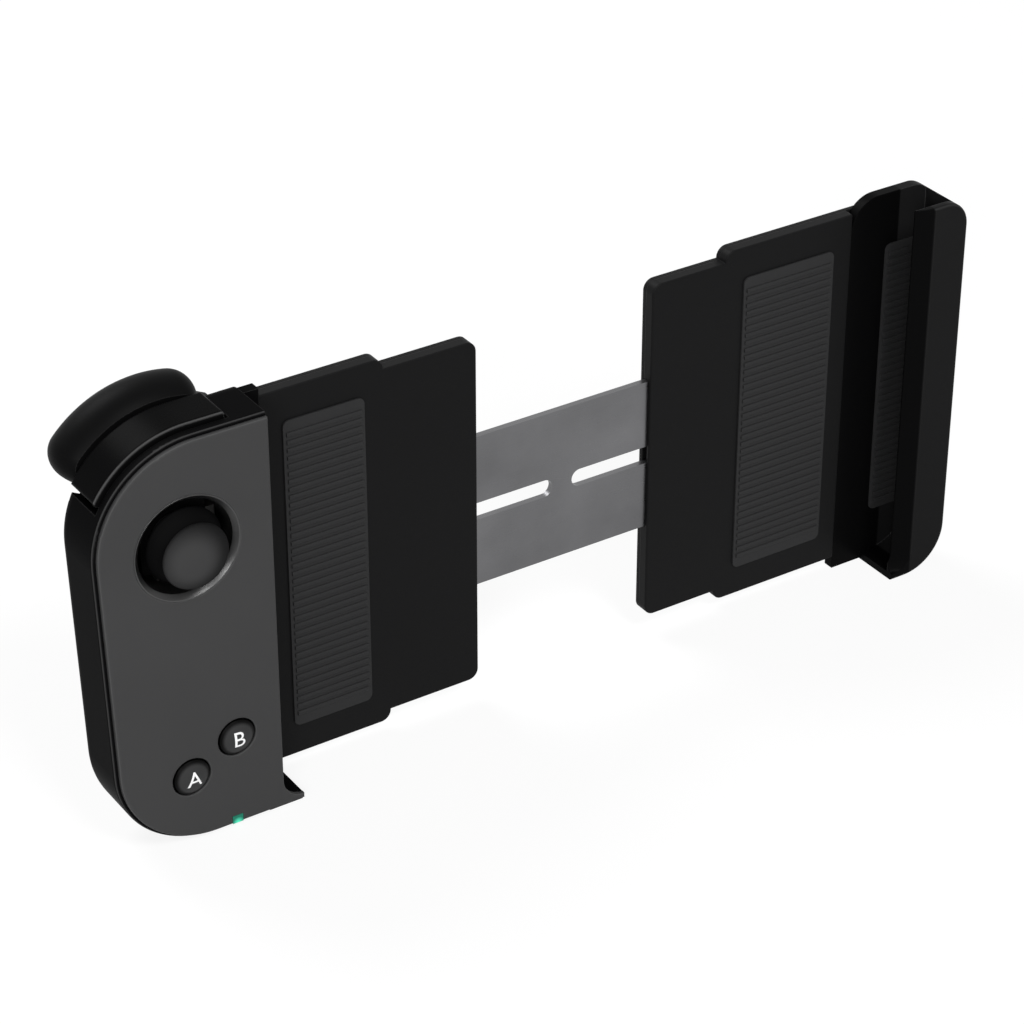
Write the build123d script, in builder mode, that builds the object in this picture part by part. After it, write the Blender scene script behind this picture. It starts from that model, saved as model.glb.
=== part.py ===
from build123d import *
from math import cos, pi, radians, sin
import os

# A clip-on game controller for a phone, standing on its long edge as it is shown.
# +X runs along the phone from the grip to the clamp, +Y to the back, +Z up.
# The origin is the centre of the footprint, under the middle of the whole part.

# Driving dimensions, in millimetres and degrees
overall_length = 177.1      # outer side of the grip to the outer side of the clamp, bracket part open
body_height = 77.7          # bottom face to top face of the grip
body_depth = 13.3           # front face of the grip to its back face
stick_proud = 4.6           # how far the stick's crown stands in front of the grip
trigger_proud = 8.6         # how far the trigger stands behind the grip
top_corner_r = 18.9         # big round corner with the bumper and trigger
bottom_corner_r = 17.9
side_lean = 1.65            # degrees that the outer side leans in towards the bottom
grip_width = 32.2           # outer side of the grip to the edge of the front panel
wall = 1.8                  # shell wall of the grip
cut_over = 5.0              # overrun of every cut

# Clearances
running_gap = 0.05          # radial gap of a pin or shaft that turns or slides
part_gap = 0.3              # gap round a moving button, bumper or trigger
seat_gap = 0.15             # gap round a piece that drops into another

# The grip in depth, measured back from the front face
overall_depth = stick_proud + body_depth + trigger_proud
front_y = stick_proud - overall_depth / 2
back_y = front_y + body_depth
panel_step = 0.9            # how far the front panel stands proud of the housing's rim
panel_thick = 1.5
rim_y = front_y + panel_step
panel_back_y = front_y + panel_thick
inner_back_y = back_y - wall

# The phone's channel and the telescopic bracket behind the phone
channel_depth = 8.5         # room for a phone of about 7.5 mm and its pads
channel_height = 74.4       # room for a phone about 74 mm wide
shelf_thick = 1.5
channel_bite = 3.1          # how far the front panel reaches over the phone
channel_wall = 1.2
foot_reach = 3.9            # how far the bottom shelf runs past the panel
rear_wall_reach = 3.8       # how far the wall behind the phone runs past the panel
channel_back_y = panel_back_y + channel_depth
plate_thick = 2.1
plate_back_y = channel_back_y + plate_thick
phone_mid_z = shelf_thick + channel_height / 2

# The outline of the grip, from its outer side
grip_left = -overall_length / 2
panel_right = grip_left + grip_width
corner_x = grip_left + top_corner_r
corner_z = body_height - top_corner_r
low_corner_z = bottom_corner_r
corner_drop = corner_z - low_corner_z
low_corner_x = corner_x - (top_corner_r - bottom_corner_r - corner_drop * sin(radians(side_lean))) / cos(
    radians(side_lean)
)
channel_end = panel_right - channel_bite
chamber_right = channel_end - channel_wall
foot_tip = panel_right + foot_reach
panel_inset = 0.7           # the front panel lies this far inside the housing's outline


def upright(y):
    """A drawing plane across the depth at y: its x is X and its y is Z, and it looks at the front."""
    return Plane(origin=(0, y, 0), x_dir=(1, 0, 0), z_dir=(0, -1, 0))


def radial(angle, centre_x, centre_z):
    """A drawing plane through a line along Y: its x runs outwards at the angle, its y is Y."""
    c = cos(radians(angle))
    s = sin(radians(angle))
    return Plane(origin=(centre_x, 0, centre_z), x_dir=(c, 0, s), z_dir=(-s, 0, c))


def grip_face(y, inset, right, foot=False):
    """The grip's front outline as a face at depth y, moved in by inset and cut off at right."""
    top_r = top_corner_r - inset
    low_r = bottom_corner_r - inset
    top = corner_z + top_r
    bottom = low_corner_z - low_r
    lean = radians(side_lean)
    upper_end = (corner_x - top_r * cos(lean), corner_z - top_r * sin(lean))
    lower_end = (low_corner_x - low_r * cos(lean), low_corner_z - low_r * sin(lean))
    tip_z = bottom + foot_tip_thick
    with BuildSketch(upright(y)) as outline:
        with BuildLine():
            Line((right, top), (corner_x, top))
            CenterArc((corner_x, corner_z), top_r, 90, 90 + side_lean)
            Line(upper_end, lower_end)
            CenterArc((low_corner_x, low_corner_z), low_r, 180 + side_lean, 90 - side_lean)
            if foot:
                Line((low_corner_x, bottom), (foot_tip, bottom))
                Line((foot_tip, bottom), (foot_tip, tip_z))
                CenterArc((foot_tip, tip_z + foot_reach), foot_reach, 270, -90)
                Line((right, tip_z + foot_reach), (right, top))
            else:
                Line((low_corner_x, bottom), (right, bottom))
                Line((right, bottom), (right, top))
        make_face()
    return outline.sketch


def box_between(x0, x1, y0, y1, z0, z1, mode=Mode.ADD):
    """A block between two opposite corners, in the open part."""
    with Locations(((x0 + x1) / 2, (y0 + y1) / 2, (z0 + z1) / 2)):
        Box(x1 - x0, y1 - y0, z1 - z0, mode=mode)


def disc_between(x, z, radius, y0, y1, mode=Mode.ADD):
    """A round bar along Y between two depths, in the open part."""
    with Locations((x, (y0 + y1) / 2, z)):
        Cylinder(radius, y1 - y0, rotation=(90, 0, 0), mode=mode)


def crown_point(edge_r, edge_y, crown_y):
    """The point half way out on a dome's section, for a dome that is part of a ball."""
    rise = edge_y - crown_y
    ball_r = (edge_r**2 + rise**2) / (2 * rise)
    return (edge_r / 2, crown_y + ball_r - (ball_r**2 - (edge_r / 2) ** 2) ** 0.5)


def save(piece, label):
    piece.part.label = label
    export_step(piece.part, f"parts/{label}.step")


os.makedirs("parts", exist_ok=True)

# Stick: place and sizes that the panel, the well and the board share
foot_tip_thick = 0.9
panel_edge_r = 0.35
stick_inset = 16.6
stick_drop = 1.1
stick_x = grip_left + stick_inset
stick_z = corner_z - stick_drop
well_rim_r = 9.6
well_bore_r = 8.6
well_sleeve_r = 9.3
pivot_depth = 5.9
pivot_y = front_y + pivot_depth     # the point that the stick tilts about

# Face buttons, each with its distance from the outer side and its height
button_r = 3.3
button_flange_r = 4.1
button_gap = 0.35
button_a_inset = 14.8
button_a_z = 13.4
button_b_inset = 23.6
button_b_z = 18.2
button_places = {
    "button_a": (grip_left + button_a_inset, button_a_z),
    "button_b": (grip_left + button_b_inset, button_b_z),
}

# Main board
board_thick = 1.0
board_inset = 3.7
board_depth = 8.7
board_front_y = front_y + board_depth
board_back_y = board_front_y + board_thick

# Case screws, each through the board into a boss of the front cover: distance in, and height
screw_r = 0.8
screw_head_r = 1.5
screw_head_deep = 1.0
screw_tip_depth = 3.3
screw_tip_y = front_y + screw_tip_depth
boss_r = 1.9
screw_drop_left = 8.8
screw_drop_right = 12.9
case_screw_rows = [
    (6.4, stick_z - screw_drop_left),
    (24.6, stick_z - screw_drop_right),
    (5.9, 13.8),
    (24.6, 28.3),
]
case_screw_places = [(grip_left + inset, height) for inset, height in case_screw_rows]

# Bumper, round the top corner
bumper_depth = 2.8
bumper_long = 8.2
bumper_bar_in = 2.5
bumper_bar_out = 1.0
bumper_inset = 6.1
bumper_pin_inset = 7.1
bumper_pin_rise = 13.1
bumper_pin_r = 0.8
bumper_eye_r = 1.9
bumper_low_angle = 149
bumper_front_y = front_y + bumper_depth
bumper_back_y = bumper_front_y + bumper_long
bumper_inner_r = top_corner_r - bumper_bar_in
bumper_outer_r = top_corner_r + bumper_bar_out
bumper_right = panel_right - bumper_inset
bumper_pin_x = panel_right - bumper_pin_inset
bumper_pin_z = corner_z + bumper_pin_rise

# Trigger behind the bumper, and the pod that carries it
trigger_depth = 11.4
trigger_low_angle = 151
trigger_high_angle = 64
trigger_inner_r = 17.1
trigger_crown_r = 6.0
trigger_pin_inset = 6.9
trigger_pin_rise = 10.3
trigger_pin_r = 0.9
trigger_eye_r = 2.2
trigger_arm_thick = 1.9
trigger_arm_back = 1.5
trigger_spring_room = 1.6
trigger_front_y = front_y + trigger_depth
trigger_pin_x = panel_right - trigger_pin_inset
trigger_pin_z = corner_z + trigger_pin_rise
trigger_arm_front_y = back_y + trigger_arm_back
trigger_arm_back_y = trigger_arm_front_y + trigger_arm_thick
pod_outer_r = 15.4
pod_inner_r = 8.5
pod_reach = 7.1
pod_back_y = back_y + pod_reach
pod_low_angle = 152
pod_high_angle = 40

# Small side-pressed switches of the bumper and the trigger
side_switch_deep = 2.6
side_switch_wide = 4.4
side_switch_high = 2.7
plunger_r = 0.7
plunger_proud = 0.3
bumper_switch_angle = 135
bumper_switch_gap = 1.2
bumper_switch_r = bumper_inner_r - bumper_switch_gap
trigger_switch_angle = 120
trigger_switch_r = pod_outer_r - plunger_r / 4

# Light pipe, status light and power key
light_inset = 9.2
light_x = panel_right - light_inset
light_half = 1.0
light_low_z = panel_inset
light_high_z = 2.2
light_riser_y = panel_back_y
light_riser_thick = 0.8
light_run_low_z = 4.0
light_run_high_z = 4.9
light_gap = 0.1
power_inset = 15.0
power_x = grip_left + power_inset
power_z = 33.0
power_long = 7.0
power_wide = 3.0
power_lip = 0.8
power_proud = 0.5

# Charging socket, in the bottom face
usb_inset = 13.4
usb_x = grip_left + usb_inset
usb_wide = 7.8
usb_high = 2.7
usb_deep = 7.0
usb_recess = 2.3                # keeps its mouth inside the rounded corner
usb_shell = 0.35

# Bracket sizes that the grip's rear wall shares
rail_thick = 1.2
rail_play = 0.1                      # the rail's gap in its pocket, front and back
pocket_skin = plate_thick - rail_thick - 2 * rail_play
pocket_floor_y = channel_back_y + pocket_skin
bracket_screw_r = 0.7
bracket_screw_rise = 28.0
bracket_screw_rows = (phone_mid_z - bracket_screw_rise, phone_mid_z + bracket_screw_rise)
lap_screw_x = panel_right + rear_wall_reach / 2

# Front cover: the grey front panel with its foot, holes and screw bosses
lip_inset = wall + seat_gap
with BuildPart() as front_cover:
    extrude(grip_face(rim_y, panel_inset, panel_right, foot=True), amount=panel_step)
    panel_edge = front_cover.faces().sort_by(Axis.Y)[0].edges()
    fillet(panel_edge, panel_edge_r)
    extrude(grip_face(panel_back_y, lip_inset, panel_right), amount=panel_thick - panel_step)
    for place_x, place_z in case_screw_places:
        disc_between(place_x, place_z, boss_r, panel_back_y, board_front_y)
        disc_between(place_x, place_z, screw_r, screw_tip_y, board_front_y, mode=Mode.SUBTRACT)
    disc_between(
        stick_x,
        stick_z,
        well_rim_r + running_gap,
        front_y - cut_over,
        rim_y,
        mode=Mode.SUBTRACT,
    )
    disc_between(
        stick_x,
        stick_z,
        well_sleeve_r + running_gap,
        rim_y,
        panel_back_y + cut_over,
        mode=Mode.SUBTRACT,
    )
    for place_x, place_z in button_places.values():
        disc_between(
            place_x,
            place_z,
            button_r + button_gap,
            front_y - cut_over,
            panel_back_y + panel_step,
            mode=Mode.SUBTRACT,
        )
    box_between(
        light_x - light_half - light_gap,
        light_x + light_half + light_gap,
        front_y - cut_over,
        panel_back_y + panel_step,
        -cut_over,
        light_high_z + light_gap,
        mode=Mode.SUBTRACT,
    )
save(front_cover, "front_cover")

# Rear housing: the black tub of the grip, with the phone's channel, shelf and the trigger's pod
back_edge_r = 3.5
rear_wall_tip = panel_right + rear_wall_reach
rear_wall_drop = 1.2
rear_wall_top = body_height - rear_wall_drop
bumper_slot_room = 0.5
bumper_slot_inner_r = bumper_inner_r - bumper_slot_room
trigger_slot_inner_r = pod_outer_r + part_gap
slot_outer_r = top_corner_r + cut_over
swing_room = 4                       # degrees of room past the bumper and the trigger
bumper_slot_low_angle = bumper_low_angle + swing_room
trigger_slot_low_angle = trigger_low_angle + swing_room * 2
trigger_slot_high_angle = trigger_high_angle - swing_room
pod_edge_r = 1.2
bumper_slot_front_y = bumper_front_y - part_gap
slot_split_y = bumper_back_y + part_gap
corner_axis = Axis((corner_x, 0, corner_z), (0, 1, 0))
pin_boss_half = 2.4
pin_boss_thick = 0.9
with BuildPart() as rear_housing:
    extrude(grip_face(back_y, 0, panel_right), amount=back_y - rim_y)
    back_edges = rear_housing.faces().sort_by(Axis.Y)[-1].edges()
    fillet(back_edges.sort_by(Axis.X)[:-1], back_edge_r)
    front_edges = rear_housing.faces().sort_by(Axis.Y)[0].edges()
    fillet(front_edges.sort_by(Axis.X)[:-1], panel_inset - seat_gap)
    extrude(grip_face(inner_back_y, wall, chamber_right), amount=inner_back_y - rim_y, mode=Mode.SUBTRACT)
    extrude(
        grip_face(panel_back_y, wall, panel_right + cut_over),
        amount=panel_back_y - rim_y,
        mode=Mode.SUBTRACT,
    )
    box_between(
        channel_end,
        panel_right + cut_over,
        rim_y - cut_over,
        channel_back_y,
        shelf_thick,
        shelf_thick + channel_height,
        mode=Mode.SUBTRACT,
    )
    # wall behind the phone and shelf under it
    box_between(panel_right - cut_over / 2, rear_wall_tip, channel_back_y, plate_back_y, 0, rear_wall_top)
    box_between(panel_right - cut_over / 2, foot_tip, rim_y, plate_back_y, 0, shelf_thick)
    # slot of the bumper, then the corner that the trigger fills
    with BuildSketch(radial(bumper_slot_low_angle, corner_x, corner_z)):
        with Locations(
            ((bumper_slot_inner_r + slot_outer_r) / 2, (bumper_slot_front_y + slot_split_y) / 2)
        ):
            Rectangle(slot_outer_r - bumper_slot_inner_r, slot_split_y - bumper_slot_front_y)
    revolve(axis=corner_axis, revolution_arc=bumper_slot_low_angle - 90, mode=Mode.SUBTRACT)
    box_between(
        corner_x,
        bumper_right + part_gap,
        bumper_slot_front_y,
        slot_split_y,
        corner_z + bumper_slot_inner_r,
        body_height + cut_over,
        mode=Mode.SUBTRACT,
    )
    with BuildSketch(radial(trigger_slot_low_angle, corner_x, corner_z)):
        with Locations(
            ((trigger_slot_inner_r + slot_outer_r) / 2, (slot_split_y + back_y + cut_over) / 2)
        ):
            Rectangle(slot_outer_r - trigger_slot_inner_r, back_y + cut_over - slot_split_y)
    revolve(
        axis=corner_axis,
        revolution_arc=trigger_slot_low_angle - trigger_slot_high_angle,
        mode=Mode.SUBTRACT,
    )
    # pod behind the grip that carries the trigger's pin
    with BuildSketch(radial(pod_low_angle, corner_x, corner_z)):
        with Locations(((pod_inner_r + pod_outer_r) / 2, (back_y - wall / 2 + pod_back_y) / 2)):
            Rectangle(pod_outer_r - pod_inner_r, pod_back_y - back_y + wall / 2)
    revolve(axis=corner_axis, revolution_arc=pod_low_angle - pod_high_angle)
    pod_edges = rear_housing.faces().sort_by(Axis.Y)[-1].edges()
    fillet(pod_edges, pod_edge_r)
    # slot in the pod for the trigger's arm
    with BuildSketch(upright(trigger_arm_back_y + trigger_spring_room)):
        with Locations((trigger_pin_x, trigger_pin_z)):
            Circle(trigger_eye_r + part_gap)
        with Locations(Location((trigger_pin_x, trigger_pin_z), trigger_high_angle)):
            Rectangle(
                cut_over * 2,
                2 * (trigger_eye_r + part_gap),
                align=(Align.MIN, Align.CENTER),
            )
    extrude(
        amount=trigger_arm_back_y + trigger_spring_room - trigger_arm_front_y + part_gap,
        mode=Mode.SUBTRACT,
    )
    disc_between(
        trigger_pin_x,
        trigger_pin_z,
        trigger_pin_r,
        back_y - wall / 2,
        pod_back_y - wall / 2,
        mode=Mode.SUBTRACT,
    )
    # boss and blind hole that hold the bumper's pin
    box_between(
        bumper_pin_x - pin_boss_half,
        chamber_right + channel_wall / 2,
        bumper_front_y - part_gap - pin_boss_thick,
        bumper_front_y - part_gap,
        bumper_pin_z - pin_boss_half,
        body_height - wall / 2,
    )
    disc_between(
        bumper_pin_x,
        bumper_pin_z,
        bumper_pin_r,
        bumper_front_y - part_gap - pin_boss_thick / 2,
        back_y - wall / 2,
        mode=Mode.SUBTRACT,
    )
    # bosses that hold the board, with the screw holes and their counterbores
    for place_x, place_z in case_screw_places:
        disc_between(place_x, place_z, boss_r, board_back_y, inner_back_y)
        disc_between(
            place_x,
            place_z,
            screw_r + seat_gap,
            board_back_y - cut_over,
            back_y,
            mode=Mode.SUBTRACT,
        )
        disc_between(
            place_x,
            place_z,
            screw_head_r + seat_gap,
            back_y - screw_head_deep,
            back_y + cut_over,
            mode=Mode.SUBTRACT,
        )
    # openings of the charging socket, the light pipe and the power key
    box_between(
        usb_x - usb_wide / 2 - seat_gap,
        usb_x + usb_wide / 2 + seat_gap,
        board_front_y - usb_high - seat_gap,
        board_front_y + seat_gap,
        -cut_over,
        wall + cut_over,
        mode=Mode.SUBTRACT,
    )
    box_between(
        light_x - light_half - light_gap,
        light_x + light_half + light_gap,
        rim_y - cut_over,
        light_riser_y + light_riser_thick + light_gap,
        light_low_z - light_gap,
        wall + cut_over / 2,
        mode=Mode.SUBTRACT,
    )
    with BuildSketch(upright(back_y + cut_over)):
        with Locations((power_x, power_z)):
            SlotOverall(power_long + 2 * button_gap, power_wide + 2 * button_gap)
    extrude(amount=cut_over + wall + power_lip, mode=Mode.SUBTRACT)
    # seat of the trigger's switch, and holes for the screws of the bracket's cover
    with BuildSketch(radial(trigger_switch_angle, corner_x, corner_z)):
        with Locations(
            (trigger_switch_r - side_switch_deep / 2 + cut_over / 2, (back_y + pod_back_y) / 2)
        ):
            Rectangle(side_switch_deep + cut_over + running_gap, side_switch_high + 2 * running_gap)
    extrude(amount=side_switch_wide / 2 + running_gap, both=True, mode=Mode.SUBTRACT)
    for place_z in bracket_screw_rows:
        disc_between(
            lap_screw_x,
            place_z,
            bracket_screw_r,
            pocket_floor_y,
            plate_back_y + cut_over,
            mode=Mode.SUBTRACT,
        )
save(rear_housing, "rear_housing")

# Well ring: black sleeve with a polished bevel, from the panel down to the board round the stick
with BuildPart() as stick_well_ring:
    disc_between(stick_x, stick_z, well_rim_r, front_y, rim_y)
    disc_between(stick_x, stick_z, well_sleeve_r, rim_y, board_front_y)
    disc_between(stick_x, stick_z, well_bore_r, front_y - cut_over, back_y, mode=Mode.SUBTRACT)
    bevel_edge = stick_well_ring.faces().sort_by(Axis.Y)[0].edges().sort_by(SortBy.RADIUS)[0]
    chamfer(bevel_edge, well_rim_r - well_bore_r - seat_gap)
save(stick_well_ring, "stick_well_ring")

# Stick base: the square can of the analogue stick, open to the front
base_side = 12.0
base_edge_r = 0.8
base_rise = 1.0
base_front_y = pivot_y - base_rise
cavity_r = 4.5
base_floor = 0.6
gimbal_r = 3.9
gimbal_bore_r = 2.6
gimbal_thick = 1.4
trunnion_r = 0.55
trunnion_end = 5.4
with BuildPart() as stick_base:
    box_between(
        stick_x - base_side / 2,
        stick_x + base_side / 2,
        base_front_y,
        board_front_y,
        stick_z - base_side / 2,
        stick_z + base_side / 2,
    )
    fillet(stick_base.edges().filter_by(Axis.Y), base_edge_r)
    disc_between(
        stick_x,
        stick_z,
        cavity_r,
        base_front_y - cut_over,
        board_front_y - base_floor,
        mode=Mode.SUBTRACT,
    )
    with Locations((stick_x, pivot_y, stick_z)):
        Cylinder(
            trunnion_r + running_gap,
            2 * (trunnion_end + seat_gap),
            rotation=(0, 90, 0),
            mode=Mode.SUBTRACT,
        )
save(stick_base, "stick_base")

# Potentiometers: one on the side of the base and one under it, a sensor for each tilt
pot_long = 6.6
pot_thick = 1.7
with BuildPart() as stick_potentiometers:
    box_between(
        stick_x + base_side / 2,
        stick_x + base_side / 2 + pot_thick,
        base_front_y + seat_gap,
        board_front_y,
        stick_z - pot_long / 2,
        stick_z + pot_long / 2,
    )
    box_between(
        stick_x - pot_long / 2,
        stick_x + pot_long / 2,
        base_front_y + seat_gap,
        board_front_y,
        stick_z - base_side / 2 - pot_thick,
        stick_z - base_side / 2,
    )
save(stick_potentiometers, "stick_potentiometers")

# Gimbal: ring that tilts up and down on two trunnions along X
rocker_pin_r = 0.45
with BuildPart() as stick_gimbal:
    disc_between(stick_x, stick_z, gimbal_r, pivot_y - gimbal_thick / 2, pivot_y + gimbal_thick / 2)
    with Locations((stick_x, pivot_y, stick_z)):
        Cylinder(trunnion_r, 2 * trunnion_end, rotation=(0, 90, 0))
    disc_between(
        stick_x,
        stick_z,
        gimbal_bore_r,
        pivot_y - cut_over,
        pivot_y + cut_over,
        mode=Mode.SUBTRACT,
    )
    with Locations((stick_x, pivot_y, stick_z)):
        Cylinder(rocker_pin_r + running_gap, 2 * (gimbal_r + seat_gap), mode=Mode.SUBTRACT)
save(stick_gimbal, "stick_gimbal")

# Rocker: bush that tilts left and right inside the gimbal and guides the shaft
rocker_r = 2.0
rocker_thick = 1.6
shaft_r = 1.2
with BuildPart() as stick_rocker:
    disc_between(stick_x, stick_z, rocker_r, pivot_y - rocker_thick / 2, pivot_y + rocker_thick / 2)
    with Locations((stick_x, pivot_y, stick_z)):
        Cylinder(rocker_pin_r, 2 * (gimbal_r - seat_gap))
    disc_between(
        stick_x,
        stick_z,
        shaft_r + running_gap,
        pivot_y - cut_over,
        pivot_y + cut_over,
        mode=Mode.SUBTRACT,
    )
save(stick_rocker, "stick_rocker")

# Shaft: steel pin that slides in the rocker and presses the click switch
shaft_tail = 1.1
shaft_proud = 2.6
shaft_chamfer = 0.2
shaft_tip_chamfer = 0.5
shaft_foot_y = pivot_y + shaft_tail
shaft_front_y = front_y - shaft_proud
with BuildPart() as stick_shaft:
    disc_between(stick_x, stick_z, shaft_r, shaft_front_y, shaft_foot_y)
    chamfer(stick_shaft.faces().sort_by(Axis.Y)[0].edges(), shaft_chamfer)
    chamfer(stick_shaft.faces().sort_by(Axis.Y)[-1].edges(), shaft_tip_chamfer)
save(stick_shaft, "stick_shaft")

# Click switch: metal dome on the floor of the stick base
click_r = 1.6
click_thick = 0.5
with BuildPart() as stick_click_switch:
    disc_between(
        stick_x, stick_z, click_r, board_front_y - base_floor - click_thick, board_front_y - base_floor
    )
    chamfer(stick_click_switch.faces().sort_by(Axis.Y)[0].edges(), shaft_chamfer)
save(stick_click_switch, "stick_click_switch")

# Joystick cap: low domed thumb cap, its stem and the round skirt that hides the gimbal
cap_r = 5.9
cap_rim_proud = 3.3
cap_rim_y = front_y - cap_rim_proud
cap_rim_thick = 1.2
cap_rim_round = 0.4
stem_r = 3.0
skirt_r = 8.3
skirt_thick = 0.6
skirt_angle = 56.5
stem_angle = 20
neck_angle = 30
cap_axis = Axis((stick_x, 0, stick_z), (0, 1, 0))
cap_crown_y = front_y - stick_proud
cap_under_y = cap_rim_y + cap_rim_thick


def skirt_point(radius, angle):
    """A point of the skirt's section: distance from the stick's line, and depth."""
    return (radius * sin(radians(angle)), pivot_y - radius * cos(radians(angle)))


with BuildPart() as joystick_cap:
    with BuildSketch(radial(0, stick_x, stick_z)):
        with BuildLine():
            edge_r = cap_r - cap_rim_round
            Line((0, cap_crown_y), (0, shaft_front_y))
            Line((0, shaft_front_y), (shaft_r, shaft_front_y))
            Line((shaft_r, shaft_front_y), (shaft_r, skirt_point(skirt_r - skirt_thick, stem_angle)[1]))
            inner_start = skirt_point(skirt_r - skirt_thick, stem_angle)
            Line((shaft_r, inner_start[1]), inner_start)
            ThreePointArc(
                inner_start,
                skirt_point(skirt_r - skirt_thick, (stem_angle + skirt_angle) / 2),
                skirt_point(skirt_r - skirt_thick, skirt_angle),
            )
            Line(skirt_point(skirt_r - skirt_thick, skirt_angle), skirt_point(skirt_r, skirt_angle))
            outer_end = skirt_point(skirt_r, neck_angle)
            ThreePointArc(
                skirt_point(skirt_r, skirt_angle),
                skirt_point(skirt_r, (neck_angle + skirt_angle) / 2),
                outer_end,
            )
            Line(outer_end, (stem_r, cap_under_y))
            Line((stem_r, cap_under_y), (edge_r, cap_under_y))
            ThreePointArc(
                (edge_r, cap_under_y),
                (cap_r, (cap_under_y + cap_rim_y) / 2),
                (edge_r, cap_rim_y),
            )
            ThreePointArc(
                (edge_r, cap_rim_y),
                crown_point(edge_r, cap_rim_y, cap_crown_y),
                (0, cap_crown_y),
            )
        make_face()
    revolve(axis=cap_axis, revolution_arc=360)
save(joystick_cap, "joystick_cap")

# Face buttons: domed caps with a flange that keeps them behind the panel, each on a rubber dome
button_edge_proud = 0.05
button_proud = 1.2
button_flange_thick = 0.7
button_stem_r = 2.2
dome_deep = 2.6
button_edge_y = front_y - button_edge_proud
button_crown_y = front_y - button_proud
button_flange_front_y = panel_back_y + button_gap
button_flange_back_y = button_flange_front_y + button_flange_thick
dome_front_y = board_front_y - dome_deep
dome_foot_r = 3.0
dome_top_r = 1.7
dome_foot_thick = 0.5
for label, (place_x, place_z) in button_places.items():
    with BuildPart() as button:
        with BuildSketch(radial(0, place_x, place_z)):
            with BuildLine():
                Line((0, button_crown_y), (0, dome_front_y - running_gap))
                Line((0, dome_front_y - running_gap), (button_stem_r, dome_front_y - running_gap))
                Line((button_stem_r, dome_front_y - running_gap), (button_stem_r, button_flange_back_y))
                Line((button_stem_r, button_flange_back_y), (button_flange_r, button_flange_back_y))
                Line((button_flange_r, button_flange_back_y), (button_flange_r, button_flange_front_y))
                Line((button_flange_r, button_flange_front_y), (button_r, button_flange_front_y))
                Line((button_r, button_flange_front_y), (button_r, button_edge_y))
                ThreePointArc(
                    (button_r, button_edge_y),
                    crown_point(button_r, button_edge_y, button_crown_y),
                    (0, button_crown_y),
                )
            make_face()
        revolve(axis=Axis((place_x, 0, place_z), (0, 1, 0)), revolution_arc=360)
    save(button, label)
    with BuildPart() as dome:
        with BuildSketch(radial(0, place_x, place_z)):
            with BuildLine():
                Polyline(
                    (0, dome_front_y),
                    (dome_top_r, dome_front_y),
                    (dome_foot_r - dome_foot_thick, board_front_y - dome_foot_thick),
                    (dome_foot_r, board_front_y - dome_foot_thick),
                    (dome_foot_r, board_front_y),
                    (dome_foot_r - 2 * dome_foot_thick, board_front_y),
                    (dome_top_r - dome_foot_thick, dome_front_y + 2 * dome_foot_thick),
                    (0, dome_front_y + 2 * dome_foot_thick),
                    close=True,
                )
            make_face()
        revolve(axis=Axis((place_x, 0, place_z), (0, 1, 0)), revolution_arc=360)
    save(dome, f"{label}_dome")

# Bumper: curved bar round the top corner, hinged on a pin at its right end
eye_step = 0.8
bumper_edge_r = 0.7
eye_front_y = bumper_front_y + eye_step
eye_back_y = bumper_back_y - eye_step
with BuildPart() as bumper_l1:
    with BuildSketch(radial(bumper_low_angle, corner_x, corner_z)):
        with Locations(((bumper_inner_r + bumper_outer_r) / 2, (bumper_front_y + bumper_back_y) / 2)):
            Rectangle(bumper_outer_r - bumper_inner_r, bumper_back_y - bumper_front_y)
    revolve(axis=corner_axis, revolution_arc=bumper_low_angle - 90)
    box_between(
        corner_x,
        bumper_right,
        bumper_front_y,
        bumper_back_y,
        corner_z + bumper_inner_r,
        corner_z + bumper_outer_r,
    )
    outer_edges = bumper_l1.edges().filter_by(
        lambda e: (e.center().X - corner_x) ** 2 + (e.center().Z - corner_z) ** 2 > top_corner_r**2
    )
    fillet(outer_edges, bumper_edge_r)
    with BuildSketch(upright(eye_back_y)):
        with Locations((bumper_pin_x, bumper_pin_z)):
            Circle(bumper_eye_r)
        with Locations((bumper_pin_x, (bumper_pin_z + corner_z + bumper_inner_r) / 2 + bumper_eye_r / 4)):
            Rectangle(
                2 * bumper_pin_r + bumper_eye_r / 2,
                corner_z + bumper_inner_r - bumper_pin_z + bumper_eye_r / 2,
            )
    extrude(amount=eye_back_y - eye_front_y)
    disc_between(
        bumper_pin_x, bumper_pin_z, bumper_pin_r + running_gap, front_y, back_y, mode=Mode.SUBTRACT
    )
save(bumper_l1, "bumper_l1")

with BuildPart() as bumper_pin:
    disc_between(
        bumper_pin_x,
        bumper_pin_z,
        bumper_pin_r,
        bumper_front_y - part_gap - pin_boss_thick / 2,
        back_y - wall / 2,
    )
save(bumper_pin, "bumper_pin")

# Side-pressed switches: the bumper's on the board, the trigger's let into the pod
bumper_switch_y = board_front_y - side_switch_high / 2
trigger_switch_y = (back_y + pod_back_y) / 2
for label, angle, outer_r, middle_y in (
    ("bumper_switch", bumper_switch_angle, bumper_switch_r, bumper_switch_y),
    ("trigger_switch", trigger_switch_angle, trigger_switch_r, trigger_switch_y),
):
    with BuildPart() as side_switch:
        with BuildSketch(radial(angle, corner_x, corner_z)):
            with Locations((outer_r - side_switch_deep / 2, middle_y)):
                Rectangle(side_switch_deep, side_switch_high)
        extrude(amount=side_switch_wide / 2, both=True)
        with BuildSketch(radial(angle, corner_x, corner_z)):
            with Locations((outer_r, middle_y)):
                Rectangle(2 * plunger_proud, 2 * plunger_r)
        extrude(amount=plunger_r, both=True)
    save(side_switch, label)

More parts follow.
